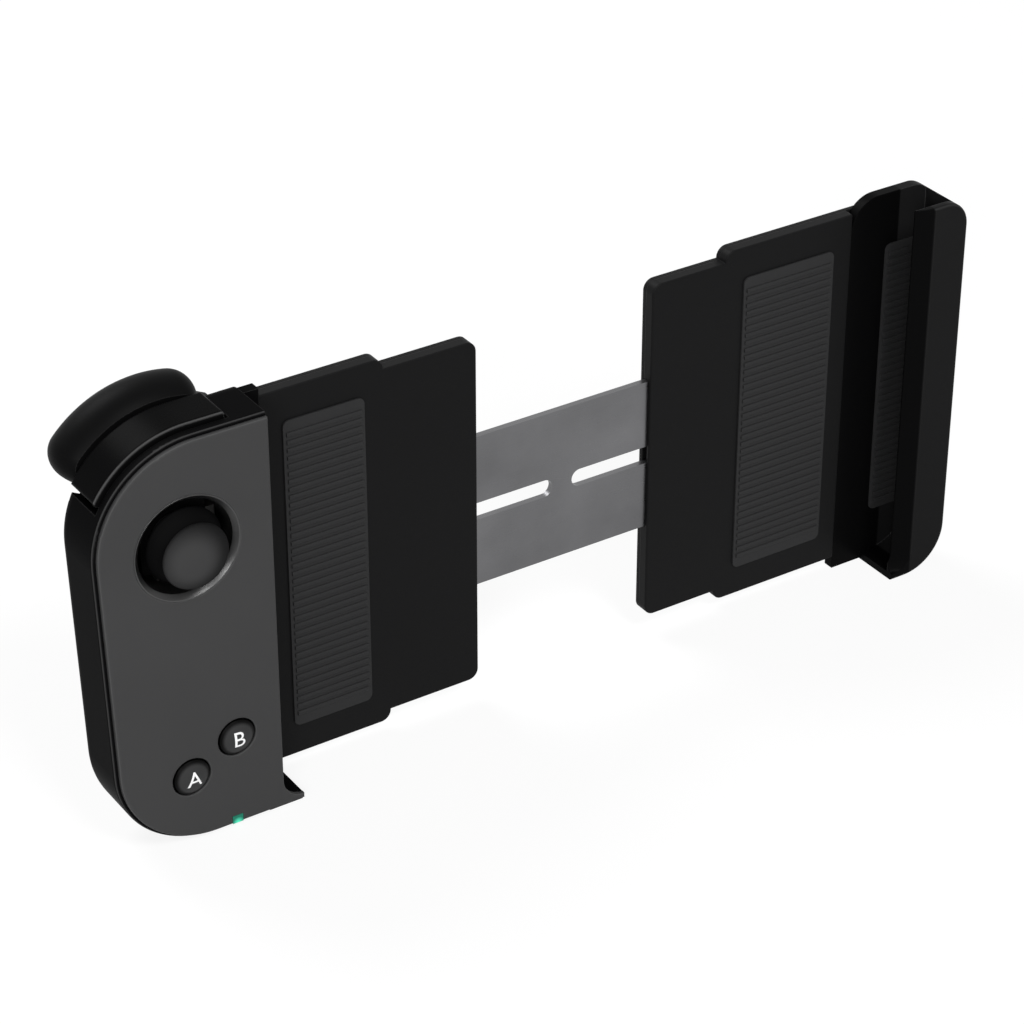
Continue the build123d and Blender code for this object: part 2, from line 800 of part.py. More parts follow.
# Trigger: domed lobe behind the bumper, with an arm to its own pin in the pod
trigger_crown_centre_r = 16.3
trigger_back_y = back_y + trigger_proud
trigger_crown_inset = trigger_inner_r - trigger_crown_centre_r
trigger_crown_y = trigger_back_y - (trigger_crown_r**2 - trigger_crown_inset**2) ** 0.5
trigger_rim_depth = trigger_crown_y - trigger_front_y
trigger_rim_r = trigger_crown_centre_r + (trigger_crown_r**2 - trigger_rim_depth**2) ** 0.5
trigger_end_r = 4.2
trigger_arm_wide = 3.3
with BuildPart() as trigger_l2:
    with BuildSketch(radial(trigger_low_angle, corner_x, corner_z)):
        with BuildLine():
            Line((trigger_inner_r, trigger_back_y), (trigger_inner_r, trigger_front_y))
            Line((trigger_inner_r, trigger_front_y), (trigger_rim_r, trigger_front_y))
            ThreePointArc(
                (trigger_rim_r, trigger_front_y),
                (trigger_crown_centre_r + trigger_crown_r, trigger_crown_y),
                (trigger_inner_r, trigger_back_y),
            )
        make_face()
    revolve(axis=corner_axis, revolution_arc=trigger_low_angle - trigger_high_angle)
    end_arcs = trigger_l2.edges().filter_by(GeomType.CIRCLE).filter_by(
        lambda e: abs(e.radius - trigger_crown_r) < running_gap
    )
    fillet(end_arcs, trigger_end_r)
    with BuildSketch(upright(trigger_arm_back_y)):
        with Locations((trigger_pin_x, trigger_pin_z)):
            Circle(trigger_eye_r)
        with Locations(Location((trigger_pin_x, trigger_pin_z), trigger_high_angle)):
            Rectangle(
                trigger_inner_r - trigger_pin_rise,
                trigger_arm_wide,
                align=(Align.MIN, Align.CENTER),
            )
    extrude(amount=trigger_arm_back_y - trigger_arm_front_y)
    disc_between(
        trigger_pin_x, trigger_pin_z, trigger_pin_r + running_gap, front_y, pod_back_y, mode=Mode.SUBTRACT
    )
save(trigger_l2, "trigger_l2")

with BuildPart() as trigger_pin:
    disc_between(trigger_pin_x, trigger_pin_z, trigger_pin_r, back_y - wall / 2, pod_back_y - wall / 2)
save(trigger_pin, "trigger_pin")

# Trigger spring: torsion coil round the pin beside the arm, each quarter turn in two tangent arcs
spring_wire_r = 0.2
spring_coil_r = 1.45
spring_turns = 2
spring_pitch = 0.5
spring_y = trigger_arm_back_y + spring_wire_r + running_gap
spring_points = []
for quarter in range(4 * spring_turns + 1):
    turn = radians(90 * quarter)
    rise = spring_pitch / (2 * pi)
    spring_points.append(
        (
            Vector(
                trigger_pin_x + spring_coil_r * cos(turn),
                spring_y + rise * turn,
                trigger_pin_z + spring_coil_r * sin(turn),
            ),
            Vector(-spring_coil_r * sin(turn), rise, spring_coil_r * cos(turn)).normalized(),
        )
    )
with BuildPart() as trigger_spring:
    with BuildLine() as spring_line:
        for (start, start_way), (end, end_way) in zip(spring_points, spring_points[1:]):
            chord = end - start
            both_ways = start_way + end_way
            bend = 2 * (1 - start_way.dot(end_way))
            along = chord.dot(both_ways)
            reach = ((along**2 + bend * chord.dot(chord)) ** 0.5 - along) / bend
            first = start + start_way * reach
            second = end - end_way * reach
            middle = (first + second) / 2
            TangentArc(start, middle, tangent=start_way)
            TangentArc(middle, end, tangent=second - first)
    with BuildSketch(Plane(origin=spring_points[0][0], z_dir=spring_points[0][1])):
        Circle(spring_wire_r)
    sweep(path=spring_line.line)
save(trigger_spring, "trigger_spring")

# Main board, cut to the grip's outline, notched for the bumper's eye, with a hole for each case screw
board_right = chamber_right - seat_gap
board_notch = 1.0
with BuildPart() as main_board:
    extrude(grip_face(board_back_y, board_inset, board_right), amount=board_thick)
    for place_x, place_z in case_screw_places:
        disc_between(place_x, place_z, screw_r + seat_gap, front_y, back_y, mode=Mode.SUBTRACT)
    box_between(
        bumper_pin_x - bumper_eye_r - board_notch,
        panel_right,
        front_y,
        back_y,
        bumper_pin_z - bumper_eye_r - board_notch,
        body_height,
        mode=Mode.SUBTRACT,
    )
save(main_board, "main_board")

# Battery: flat cell taped to the board between the stick and the buttons
battery_wide = 17.0
battery_low = 24.0
battery_stick_gap = 2.2
battery_high = stick_z - well_sleeve_r - battery_stick_gap - battery_low
battery_thick = 4.5
battery_edge_r = 0.9
battery_left = grip_left + board_inset
with BuildPart() as battery:
    box_between(
        battery_left,
        battery_left + battery_wide,
        board_front_y - battery_thick,
        board_front_y,
        battery_low,
        battery_low + battery_high,
    )
    fillet(battery.edges().filter_by(Axis.Z), battery_edge_r)
save(battery, "battery")

# Battery connector: small two-way plug and socket on the board
connector_gap = 0.8
connector_rise = 0.5                 # above the battery's middle
connector_long = 4.0
connector_wide = 2.6
connector_high = 1.8
connector_chamfer = 0.3
connector_left = battery_left + battery_wide + connector_gap
connector_low = battery_low + (battery_high - connector_long) / 2 + connector_rise
with BuildPart() as battery_connector:
    box_between(
        connector_left,
        connector_left + connector_wide,
        board_front_y - connector_high,
        board_front_y,
        connector_low,
        connector_low + connector_long,
    )
    chamfer(battery_connector.faces().sort_by(Axis.Y)[0].edges(), connector_chamfer)
save(battery_connector, "battery_connector")

# Radio module: shielded chip on the back of the board
radio_long = 12.0
radio_wide = 9.0
radio_thick = 1.4
radio_low = 42.0
radio_corner_r = 0.5
with BuildPart() as radio_module:
    box_between(
        power_x - radio_wide / 2,
        power_x + radio_wide / 2,
        board_back_y,
        board_back_y + radio_thick,
        radio_low,
        radio_low + radio_long,
    )
    fillet(radio_module.edges().filter_by(Axis.Y), radio_corner_r)
save(radio_module, "radio_module")

# Charging socket: folded metal shell with its tongue, on the lower end of the board
usb_corner_r = 0.5
tongue_half = usb_wide / 4
with BuildPart() as usb_socket:
    box_between(
        usb_x - usb_wide / 2,
        usb_x + usb_wide / 2,
        board_front_y - usb_high,
        board_front_y,
        usb_recess,
        usb_recess + usb_deep,
    )
    fillet(usb_socket.edges().filter_by(Axis.Z), usb_corner_r)
    box_between(
        usb_x - usb_wide / 2 + usb_shell,
        usb_x + usb_wide / 2 - usb_shell,
        board_front_y - usb_high + usb_shell,
        board_front_y - usb_shell,
        usb_recess - cut_over,
        usb_recess + usb_deep - usb_shell,
        mode=Mode.SUBTRACT,
    )
    box_between(
        usb_x - tongue_half,
        usb_x + tongue_half,
        board_front_y - usb_high / 2 - usb_shell,
        board_front_y - usb_high / 2 + usb_shell,
        usb_recess + usb_shell,
        usb_recess + usb_deep,
    )
save(usb_socket, "usb_socket")

# Light pipe: clear bar that leads the status light down and out at the panel's lower edge
pipe_end_gap = 0.8
pipe_rear_y = board_front_y - pipe_end_gap
with BuildPart() as light_pipe:
    box_between(
        light_x - light_half,
        light_x + light_half,
        front_y,
        light_riser_y + light_riser_thick,
        light_low_z,
        light_high_z,
    )
    box_between(
        light_x - light_half,
        light_x + light_half,
        light_riser_y + light_gap,
        light_riser_y + light_riser_thick,
        light_low_z,
        light_run_high_z,
    )
    box_between(
        light_x - light_half,
        light_x + light_half,
        light_riser_y + light_gap,
        pipe_rear_y,
        light_run_low_z,
        light_run_high_z,
    )
save(light_pipe, "light_pipe")

# Status light: small chip on the board, behind the light pipe's rear end
chip_half = 0.8
with BuildPart() as status_light:
    box_between(
        light_x - chip_half,
        light_x + chip_half,
        pipe_rear_y + light_gap,
        board_front_y,
        light_run_low_z,
        light_run_high_z,
    )
save(status_light, "status_light")

# Power key: oblong key in the back of the grip, over a small switch on the back of the board
power_edge_r = 0.4
power_switch_thick = 0.6
power_switch_chamfer = 0.2
key_front_y = inner_back_y - power_lip
with BuildPart() as power_key:
    with BuildSketch(upright(back_y + power_proud)):
        with Locations((power_x, power_z)):
            SlotOverall(power_long, power_wide)
    extrude(amount=back_y + power_proud - key_front_y)
    fillet(power_key.faces().sort_by(Axis.Y)[-1].edges(), power_edge_r)
    with BuildSketch(upright(inner_back_y - running_gap)):
        with Locations((power_x, power_z)):
            SlotOverall(power_long + 2 * power_lip, power_wide + 2 * power_lip)
    extrude(amount=power_lip - running_gap)
save(power_key, "power_key")

with BuildPart() as power_switch:
    box_between(
        power_x - power_wide / 2,
        power_x + power_wide / 2,
        board_back_y,
        board_back_y + power_switch_thick,
        power_z - power_wide / 2,
        power_z + power_wide / 2,
    )
    chamfer(power_switch.faces().sort_by(Axis.Y)[-1].edges(), power_switch_chamfer)
save(power_switch, "power_switch")

# Case screws: one group of like screws, each with a cross recess
case_screw_sunk = 0.1
cross_long = 1.1
cross_wide = 0.25
cross_deep = 0.4
head_back_y = back_y - case_screw_sunk
with BuildPart() as case_screws:
    for place_x, place_z in case_screw_places:
        disc_between(place_x, place_z, screw_head_r, back_y - screw_head_deep, head_back_y)
        disc_between(place_x, place_z, screw_r, screw_tip_y, back_y - screw_head_deep)
        for half_x, half_z in ((cross_long, cross_wide), (cross_wide, cross_long)):
            box_between(
                place_x - half_x,
                place_x + half_x,
                head_back_y - cross_deep,
                head_back_y + cut_over,
                place_z - half_z,
                place_z + half_z,
                mode=Mode.SUBTRACT,
            )
save(case_screws, "case_screws")

# Channel pad: rubber strip on the end of the grip's channel, where the phone's edge rests
pad_thick = 0.6
pad_end_margin = 9.0
pad_corner_r = 0.8
with BuildPart() as channel_pad:
    box_between(
        channel_end,
        channel_end + pad_thick,
        panel_back_y + pad_thick,
        channel_back_y - pad_thick,
        shelf_thick + pad_end_margin,
        shelf_thick + channel_height - pad_end_margin,
    )
    fillet(channel_pad.edges().filter_by(Axis.X), pad_corner_r)
save(channel_pad, "channel_pad")

# Telescopic bracket: its two halves, each a front plate and a back cover, with a flat rail between them
wing_height = 72.7
tongue_height = 68.5
wing_corner_r = 2.0
tongue_corner_r = 2.0
left_wing_long = 23.6
left_tongue_long = 18.3
right_wing_long = 28.1
right_tongue_long = 15.7
clamp_long = 18.9
closing_gap = 0.5                    # gap left between the two halves when the bracket is shut
travel_out = 14.0
rail_overlap = 15.0
rail_half_height = 15.0
rail_corner_r = 1.2
pocket_past_rail = 1.5
stop_r = 1.5
stop_gap = 0.2
stop_inset = 3.5
friction_pad_inset = 4.0
friction_pad_long = 4.0
friction_pad_high = 10.0
friction_pad_thick = 0.6
friction_pad_rise = 9.0
friction_pad_rows = (phone_mid_z - friction_pad_rise, phone_mid_z + friction_pad_rise)
plate_edge_r = 0.3
cover_chamfer = 0.3
bracket_head_r = 1.3
bracket_head_deep = 0.7
wing_screw_inset = 4.0
lap_long = 7.0
wing_pad_margin = 4.0
wing_pad_end_margin = 6.0
left_wing_end = rear_wall_tip + left_wing_long
left_tongue_end = left_wing_end + left_tongue_long
clamp_right = overall_length / 2
clamp_left = clamp_right - clamp_long
right_wing_start = clamp_left - right_wing_long
right_tongue_start = right_wing_start - right_tongue_long
travel_in = right_tongue_start - left_tongue_end - closing_gap
left_stop_x = left_tongue_end - stop_inset
right_stop_x = right_tongue_start + stop_inset
clamp_screw_x = clamp_left + lap_long / 2


def stepped_face(y, wing_x, step_x, tongue_x):
    """A bracket half's outline at depth y: a tall wing from wing_x to step_x, then a tongue."""
    with BuildSketch(upright(y)) as outline:
        with Locations(((wing_x + step_x) / 2, phone_mid_z)):
            Rectangle(abs(step_x - wing_x), wing_height)
        with Locations(((wing_x + tongue_x) / 2, phone_mid_z)):
            Rectangle(abs(tongue_x - wing_x), tongue_height)
        step_corners = outline.vertices().filter_by(
            lambda v: abs(v.X - step_x) < seat_gap
            and abs(v.Y - phone_mid_z) > tongue_height / 2 + seat_gap
        )
        fillet(step_corners, wing_corner_r)
        tongue_corners = outline.vertices().filter_by(lambda v: abs(v.X - tongue_x) < seat_gap)
        fillet(tongue_corners, tongue_corner_r)
    return outline.sketch


left_half = (
    "left",
    1,
    rear_wall_tip,
    panel_right,
    left_wing_end,
    left_tongue_end,
    left_stop_x,
    (lap_screw_x, left_wing_end - wing_screw_inset),
)
right_half = (
    "right",
    -1,
    clamp_left,
    clamp_left + lap_long,
    right_wing_start,
    right_tongue_start,
    right_stop_x,
    (clamp_screw_x, right_wing_start + wing_screw_inset),
)
for side, inward, plate_x, cover_x, step_x, tongue_x, stop_x, screw_columns in (left_half, right_half):
    pad_x = tongue_x - inward * friction_pad_inset
    pocket_end = tongue_x - inward * (rail_overlap + travel_in / 2 + pocket_past_rail)
    pocket_mouth = tongue_x + inward * cut_over
    with BuildPart() as plate:
        extrude(stepped_face(plate_back_y, plate_x, step_x, tongue_x), amount=plate_thick)
        front_rim = plate.faces().sort_by(Axis.Y)[0].edges()
        fillet(front_rim.filter_by(lambda e: abs(e.center().X - plate_x) > seat_gap), plate_edge_r)
        box_between(
            min(pocket_end, pocket_mouth),
            max(pocket_end, pocket_mouth),
            pocket_floor_y,
            plate_back_y + cut_over,
            phone_mid_z - rail_half_height - seat_gap,
            phone_mid_z + rail_half_height + seat_gap,
            mode=Mode.SUBTRACT,
        )
        disc_between(stop_x, phone_mid_z, stop_r, channel_back_y + pocket_skin / 2, plate_back_y)
        for place_z in bracket_screw_rows:
            disc_between(
                screw_columns[1],
                place_z,
                bracket_screw_r,
                pocket_floor_y,
                plate_back_y + cut_over,
                mode=Mode.SUBTRACT,
            )
    save(plate, f"{side}_bracket_plate")

    with BuildPart() as cover:
        extrude(stepped_face(back_y, cover_x, step_x, tongue_x), amount=back_y - plate_back_y)
        back_rim = cover.faces().sort_by(Axis.Y)[-1].edges()
        chamfer(back_rim.filter_by(lambda e: abs(e.center().X - cover_x) > seat_gap), cover_chamfer)
        for place_z in friction_pad_rows:
            box_between(
                pad_x - friction_pad_long / 2 - running_gap,
                pad_x + friction_pad_long / 2 + running_gap,
                plate_back_y - cut_over,
                plate_back_y + friction_pad_thick,
                place_z - friction_pad_high / 2 - running_gap,
                place_z + friction_pad_high / 2 + running_gap,
                mode=Mode.SUBTRACT,
            )
        for place_x in screw_columns:
            for place_z in bracket_screw_rows:
                disc_between(
                    place_x,
                    place_z,
                    bracket_screw_r + seat_gap,
                    plate_back_y - cut_over,
                    back_y,
                    mode=Mode.SUBTRACT,
                )
                disc_between(
                    place_x,
                    place_z,
                    bracket_head_r + seat_gap,
                    back_y - bracket_head_deep,
                    back_y + cut_over,
                    mode=Mode.SUBTRACT,
                )
    save(cover, f"{side}_bracket_cover")

    with BuildPart() as bracket_screws:
        for place_x in screw_columns:
            for place_z in bracket_screw_rows:
                disc_between(
                    place_x,
                    place_z,
                    bracket_head_r,
                    back_y - bracket_head_deep,
                    back_y - running_gap,
                )
                disc_between(
                    place_x,
                    place_z,
                    bracket_screw_r,
                    pocket_floor_y,
                    back_y - bracket_head_deep,
                )
                for half_x, half_z in (
                    (cross_long - cross_wide, cross_wide),
                    (cross_wide, cross_long - cross_wide),
                ):
                    box_between(
                        place_x - half_x,
                        place_x + half_x,
                        back_y - cross_deep,
                        back_y + cut_over,
                        place_z - half_z,
                        place_z + half_z,
                        mode=Mode.SUBTRACT,
                    )
    save(bracket_screws, f"{side}_bracket_screws")

    with BuildPart() as friction_pads:
        for place_z in friction_pad_rows:
            box_between(
                pad_x - friction_pad_long / 2,
                pad_x + friction_pad_long / 2,
                plate_back_y - rail_play / 2,
                plate_back_y + friction_pad_thick,
                place_z - friction_pad_high / 2,
                place_z + friction_pad_high / 2,
            )
    save(friction_pads, f"{side}_friction_pads")

    with BuildPart() as wing_pad:
        with BuildSketch(upright(channel_back_y)):
            with Locations(((plate_x + step_x) / 2, phone_mid_z)):
                RectangleRounded(
                    abs(step_x - plate_x) - 2 * wing_pad_margin,
                    wing_height - 2 * wing_pad_end_margin,
                    wing_corner_r,
                )
        extrude(amount=pad_thick)
    save(wing_pad, f"{side}_plate_pad")

# Rail: flat steel slide that runs in both halves, with a slot for each stop
rail_front_y = pocket_floor_y + rail_play
with BuildPart() as slide_rail:
    box_between(
        left_tongue_end - rail_overlap,
        right_tongue_start + rail_overlap,
        rail_front_y,
        rail_front_y + rail_thick,
        phone_mid_z - rail_half_height,
        phone_mid_z + rail_half_height,
    )
    fillet(slide_rail.edges().filter_by(Axis.Y), rail_corner_r)
    for slot_start, slot_end in (
        (left_stop_x - travel_out / 2, left_stop_x + travel_in / 2),
        (right_stop_x - travel_in / 2, right_stop_x + travel_out / 2),
    ):
        with BuildSketch(upright(plate_back_y)):
            with Locations(((slot_start + slot_end) / 2, phone_mid_z)):
                SlotCenterToCenter(slot_end - slot_start, 2 * (stop_r + stop_gap))
        extrude(amount=plate_thick, mode=Mode.SUBTRACT)
save(slide_rail, "slide_rail")

# Clamp: channel that hooks over the far end of the phone, open to the top
clamp_height = 77.3
clamp_wall = 2.0
clamp_lip_thick = 1.6
lip_wide = 7.8
lip_slope = 3.8             # how far the lip's back edge runs past its front edge
lip_root_r = 4.0
clamp_shelf_reach = 4.4
clamp_top_r = 5.0
clamp_low_r = 9.0
clamp_plate_r = 6.0
clamp_back_r = 4.0
clamp_front_r = 0.8
lip_front_x = clamp_right - lip_wide
lip_back_x = lip_front_x - lip_slope
lip_back_y = front_y + clamp_lip_thick
clamp_shelf_left = lip_front_x - clamp_shelf_reach
clamp_inner_x = clamp_right - clamp_wall
clamp_mid_x = (clamp_left + clamp_right) / 2
slope_over = lip_slope * part_gap / clamp_lip_thick
with BuildPart() as clamp_body:
    with BuildSketch(upright(plate_back_y)) as clamp_outline:
        with Locations((clamp_mid_x, clamp_height / 2)):
            Rectangle(clamp_long, clamp_height)
        upper = clamp_outline.vertices().filter_by(lambda v: v.Y > clamp_height / 2)
        fillet(upper.sort_by(Axis.X)[-1], clamp_top_r)
        upper = clamp_outline.vertices().filter_by(lambda v: v.Y > clamp_height / 2)
        fillet(upper.sort_by(Axis.X)[0], clamp_plate_r)
        lower = clamp_outline.vertices().filter_by(lambda v: v.Y < clamp_height / 2)
        fillet(lower.sort_by(Axis.X)[-1], clamp_low_r)
    extrude(amount=plate_back_y - front_y)
    with BuildSketch(Plane.XY.offset(-cut_over)) as clamp_plan:
        with Locations((clamp_mid_x, (front_y + plate_back_y) / 2)):
            Rectangle(clamp_long, plate_back_y - front_y)
        rightmost = clamp_plan.vertices().sort_by(Axis.X)[-2:]
        fillet(rightmost.sort_by(Axis.Y)[-1], clamp_back_r)
    extrude(amount=clamp_height + 2 * cut_over, mode=Mode.INTERSECT)
    front_edges = clamp_body.faces().sort_by(Axis.Y)[0].edges()
    fillet(front_edges.filter_by(lambda e: e.center().X > lip_front_x), clamp_front_r)
    # the channel, open to the left and to the top, with a rounded lower corner
    with BuildSketch(upright(channel_back_y)) as channel_room:
        with Locations((clamp_left - cut_over, shelf_thick)):
            Rectangle(
                clamp_inner_x - clamp_left + cut_over,
                clamp_height + cut_over,
                align=(Align.MIN, Align.MIN),
            )
        low_corner = channel_room.vertices().sort_by(Axis.Y)[:2].sort_by(Axis.X)[-1]
        fillet(low_corner, clamp_low_r - clamp_wall)
    extrude(amount=channel_back_y - lip_back_y, mode=Mode.SUBTRACT)
    box_between(
        clamp_left - cut_over,
        clamp_shelf_left,
        front_y - cut_over,
        channel_back_y,
        -cut_over,
        clamp_height + cut_over,
        mode=Mode.SUBTRACT,
    )
    # the way in past the lip, whose inner side slopes
    for room_y, room_x in (
        (front_y - part_gap, lip_front_x + slope_over),
        (lip_back_y + part_gap, lip_back_x - slope_over),
    ):
        with BuildSketch(upright(room_y)) as room:
            with Locations((room_x, shelf_thick)):
                Rectangle(clamp_long, clamp_height + cut_over, align=(Align.MAX, Align.MIN))
            root_corner = room.vertices().sort_by(Axis.Y)[:2].sort_by(Axis.X)[-1]
            fillet(root_corner, lip_root_r)
    loft(mode=Mode.SUBTRACT)
    for place_z in bracket_screw_rows:
        disc_between(
            clamp_screw_x,
            place_z,
            bracket_screw_r,
            pocket_floor_y,
            plate_back_y + cut_over,
            mode=Mode.SUBTRACT,
        )
save(clamp_body, "clamp_body")

# Clamp pads: soft strips on the end and on the back of the clamp's channel
end_pad_thick = 0.8
back_pad_wide = 8.0
with BuildPart() as clamp_end_pad:
    box_between(
        clamp_inner_x - end_pad_thick,
        clamp_inner_x,
        lip_back_y + pad_thick,
        channel_back_y - 2 * pad_thick,
        shelf_thick + pad_end_margin,
        shelf_thick + channel_height - pad_end_margin,
    )
    fillet(clamp_end_pad.edges().filter_by(Axis.X), pad_corner_r)
save(clamp_end_pad, "clamp_end_pad")

with BuildPart() as clamp_back_pad:
    box_between(
        clamp_inner_x - end_pad_thick - back_pad_wide,
        clamp_inner_x - end_pad_thick,
        channel_back_y - pad_thick,
        channel_back_y,
        shelf_thick + pad_end_margin,
        shelf_thick + channel_height - pad_end_margin,
    )
    fillet(clamp_back_pad.edges().filter_by(Axis.Y), pad_corner_r)
save(clamp_back_pad, "clamp_back_pad")
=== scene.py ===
from math import radians

import bpy
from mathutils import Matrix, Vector


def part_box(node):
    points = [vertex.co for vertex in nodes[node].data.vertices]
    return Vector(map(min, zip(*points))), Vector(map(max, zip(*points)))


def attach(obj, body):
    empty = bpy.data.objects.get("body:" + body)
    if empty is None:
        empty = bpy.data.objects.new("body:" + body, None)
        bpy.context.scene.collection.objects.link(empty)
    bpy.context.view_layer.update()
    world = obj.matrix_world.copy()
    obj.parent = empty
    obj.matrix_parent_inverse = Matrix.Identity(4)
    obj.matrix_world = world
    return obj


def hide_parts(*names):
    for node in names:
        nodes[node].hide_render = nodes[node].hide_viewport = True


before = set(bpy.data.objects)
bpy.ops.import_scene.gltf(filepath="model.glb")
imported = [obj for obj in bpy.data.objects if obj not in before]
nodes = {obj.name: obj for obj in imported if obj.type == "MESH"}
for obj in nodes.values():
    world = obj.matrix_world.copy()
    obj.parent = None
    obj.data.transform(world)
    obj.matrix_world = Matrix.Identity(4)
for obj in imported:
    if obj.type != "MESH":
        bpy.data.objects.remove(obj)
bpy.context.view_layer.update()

bpy.ops.object.select_all(action="DESELECT")
MM = 0.001

# Camera: stands in front of the controller, to its left and above it.
# Its long lens keeps the grip and the far clamp at nearly the same scale.
CAMERA_PLACE = (-0.26975, -0.40705, 0.3327)
CAMERA_TURN = -33.104       # degrees about Z
CAMERA_DOWN = 31.257        # degrees below the horizon
CAMERA_LENS = 114.26        # mm, for a sensor as wide as the next line says
CAMERA_SENSOR = 36
CAMERA_NEAREST = 0.01
bpy.ops.object.camera_add(location=CAMERA_PLACE)
camera = bpy.context.object
camera.rotation_euler = (radians(90 - CAMERA_DOWN), 0, radians(CAMERA_TURN))
camera.data.lens = CAMERA_LENS
camera.data.sensor_width = CAMERA_SENSOR
camera.data.clip_start = CAMERA_NEAREST
bpy.context.scene.camera = camera
bpy.context.scene.view_settings.view_transform = "Standard"

# Studio lamps: two soft lamps in front, one on the left and one high up, a wide weak one
# straight in front, and one behind the top edge for the rounded edges.
# Each has its place, its width and its power.
LAMPS = {
    "key_lamp": ((-0.92, -1.04, 0.62), 0.45, 10.0),
    "top_lamp": ((0.0, -0.98, 1.18), 0.5, 11.5),
    "front_lamp": ((-0.15, -1.5, 0.2), 0.9, 1.8),
    "back_lamp": ((-0.25, 0.75, 0.95), 0.7, 8.0),
}
LAMP_AIM = Vector((0, 0, 0.04))
for name, (place, width, power) in LAMPS.items():
    bpy.ops.object.light_add(type="AREA", location=place)
    lamp = bpy.context.object
    lamp.name = name
    lamp.data.shape = "DISK"
    lamp.data.size = width
    lamp.data.energy = power
    lamp.rotation_euler = (LAMP_AIM - Vector(place)).to_track_quat("-Z", "Y").to_euler()

# Surroundings: plain white paper all round, which gives weak even light.
# It looks full white to the camera and in mirrors, so nothing has to be lit brighter for it.
SURROUND_LIT = 0.1          # strength for matt surfaces
SURROUND_SEEN = 1.0         # strength for the camera and for mirrors


def math_node(tree, operation, first, second=0.0, clamp=False):
    """One step of arithmetic on numbers or sockets."""
    node = tree.nodes.new("ShaderNodeMath")
    node.operation = operation
    node.use_clamp = clamp
    for socket, value in zip(node.inputs, (first, second)):
        if isinstance(value, (int, float)):
            socket.default_value = value
        else:
            tree.links.new(value, socket)
    return node.outputs[0]


def seen_factor(tree):
    """1 where the camera, a mirror or glass looks straight at the surroundings, else 0."""
    path = tree.nodes.new("ShaderNodeLightPath")
    total = path.outputs["Is Camera Ray"]
    for ray in ("Is Glossy Ray", "Is Transmission Ray"):
        total = math_node(tree, "MAXIMUM", total, path.outputs[ray])
    return total


def mix_to_surface(tree, share, first, second, ending):
    """Mixes two shaders, with the second one's share, into an output node."""
    mix = tree.nodes.new("ShaderNodeMixShader")
    tree.links.new(share, mix.inputs["Fac"])
    tree.links.new(first.outputs[0], mix.inputs[1])
    tree.links.new(second.outputs[0], mix.inputs[2])
    tree.links.new(mix.outputs[0], tree.nodes.new(ending).inputs["Surface"])


world = bpy.data.worlds.new("studio")
bpy.context.scene.world = world
world.use_nodes = True
tree = world.node_tree
tree.nodes.clear()
lit = tree.nodes.new("ShaderNodeBackground")
lit.inputs["Strength"].default_value = SURROUND_LIT
seen = tree.nodes.new("ShaderNodeBackground")
seen.inputs["Strength"].default_value = SURROUND_SEEN
for shade in (lit, seen):
    shade.inputs["Color"].default_value = (1, 1, 1, 1)
mix_to_surface(tree, seen_factor(tree), lit, seen, "ShaderNodeOutputWorld")

# Table: white paper under the long edge that the controller stands on.
# It keeps a little of the controller's shadow.
TABLE_WIDE = 12             # metres
PAPER_WHITE = 0.85
PAPER_GLOW = 1.07
PAPER_GLOW_SHARE = 0.8      # the rest shows the shadow
bpy.ops.mesh.primitive_plane_add(size=TABLE_WIDE)
table = bpy.context.object
table.name = "table"
paper = bpy.data.materials.new("white_paper")
paper.use_nodes = True
tree = paper.node_tree
tree.nodes.clear()
matt = tree.nodes.new("ShaderNodeBsdfDiffuse")
matt.inputs["Color"].default_value = (PAPER_WHITE, PAPER_WHITE, PAPER_WHITE, 1)
glow = tree.nodes.new("ShaderNodeEmission")
glow.inputs["Strength"].default_value = PAPER_GLOW
share = math_node(tree, "MULTIPLY", seen_factor(tree), PAPER_GLOW_SHARE)
mix_to_surface(tree, share, matt, glow, "ShaderNodeOutputMaterial")
table.data.materials.append(paper)

# Front cover: one injection moulding of dark grey plastic, with its foot under the phone.
# The tool is spark eroded, which leaves a fine grain that takes the light evenly,
# and four screws from the back pull it onto the housing.
PANEL_GREY = (0.0455, 0.0455, 0.046)
CLOUDS_PER_METRE = 45.0
PIT_SWING = 0.05            # how far the pits change the roughness
EDGE_GAIN = 4.0             # from the turn of the normal to the edge mask
WORN_ROUGHNESS = -0.25      # added to the roughness where an edge is fully rubbed
GRAIN_STRENGTH = 0.6
CLOUD_DARK, CLOUD_LIGHT = 0.92, 1.08


def new_group(name, values, results):
    """A shader node group with plain number inputs and named results."""
    group = bpy.data.node_groups.new(name, "ShaderNodeTree")
    for label, value in values.items():
        socket = group.interface.new_socket(
            label, in_out="INPUT", socket_type="NodeSocketFloat"
        )
        socket.default_value = value
    for label, kind in results.items():
        group.interface.new_socket(label, in_out="OUTPUT", socket_type=kind)
    return group, group.nodes.new("NodeGroupInput"), group.nodes.new("NodeGroupOutput")


def group_node(tree, group, **values):
    """A group with some of its inputs set. An underscore stands for a space in a name."""
    node = tree.nodes.new("ShaderNodeGroup")
    node.node_tree = group
    for name, value in values.items():
        node.inputs[name.replace("_", " ")].default_value = value
    return node


def object_place(tree):
    """Where a point lies in the part's own coordinates, in metres."""
    return tree.nodes.new("ShaderNodeTexCoord").outputs["Object"]


def noise_node(tree, place, scale, detail):
    """Cloudy noise, with its scale as a number or a socket."""
    node = tree.nodes.new("ShaderNodeTexNoise")
    tree.links.new(place, node.inputs["Vector"])
    node.inputs["Detail"].default_value = detail
    if isinstance(scale, (int, float)):
        node.inputs["Scale"].default_value = scale
    else:
        tree.links.new(scale, node.inputs["Scale"])
    return node.outputs["Fac"]


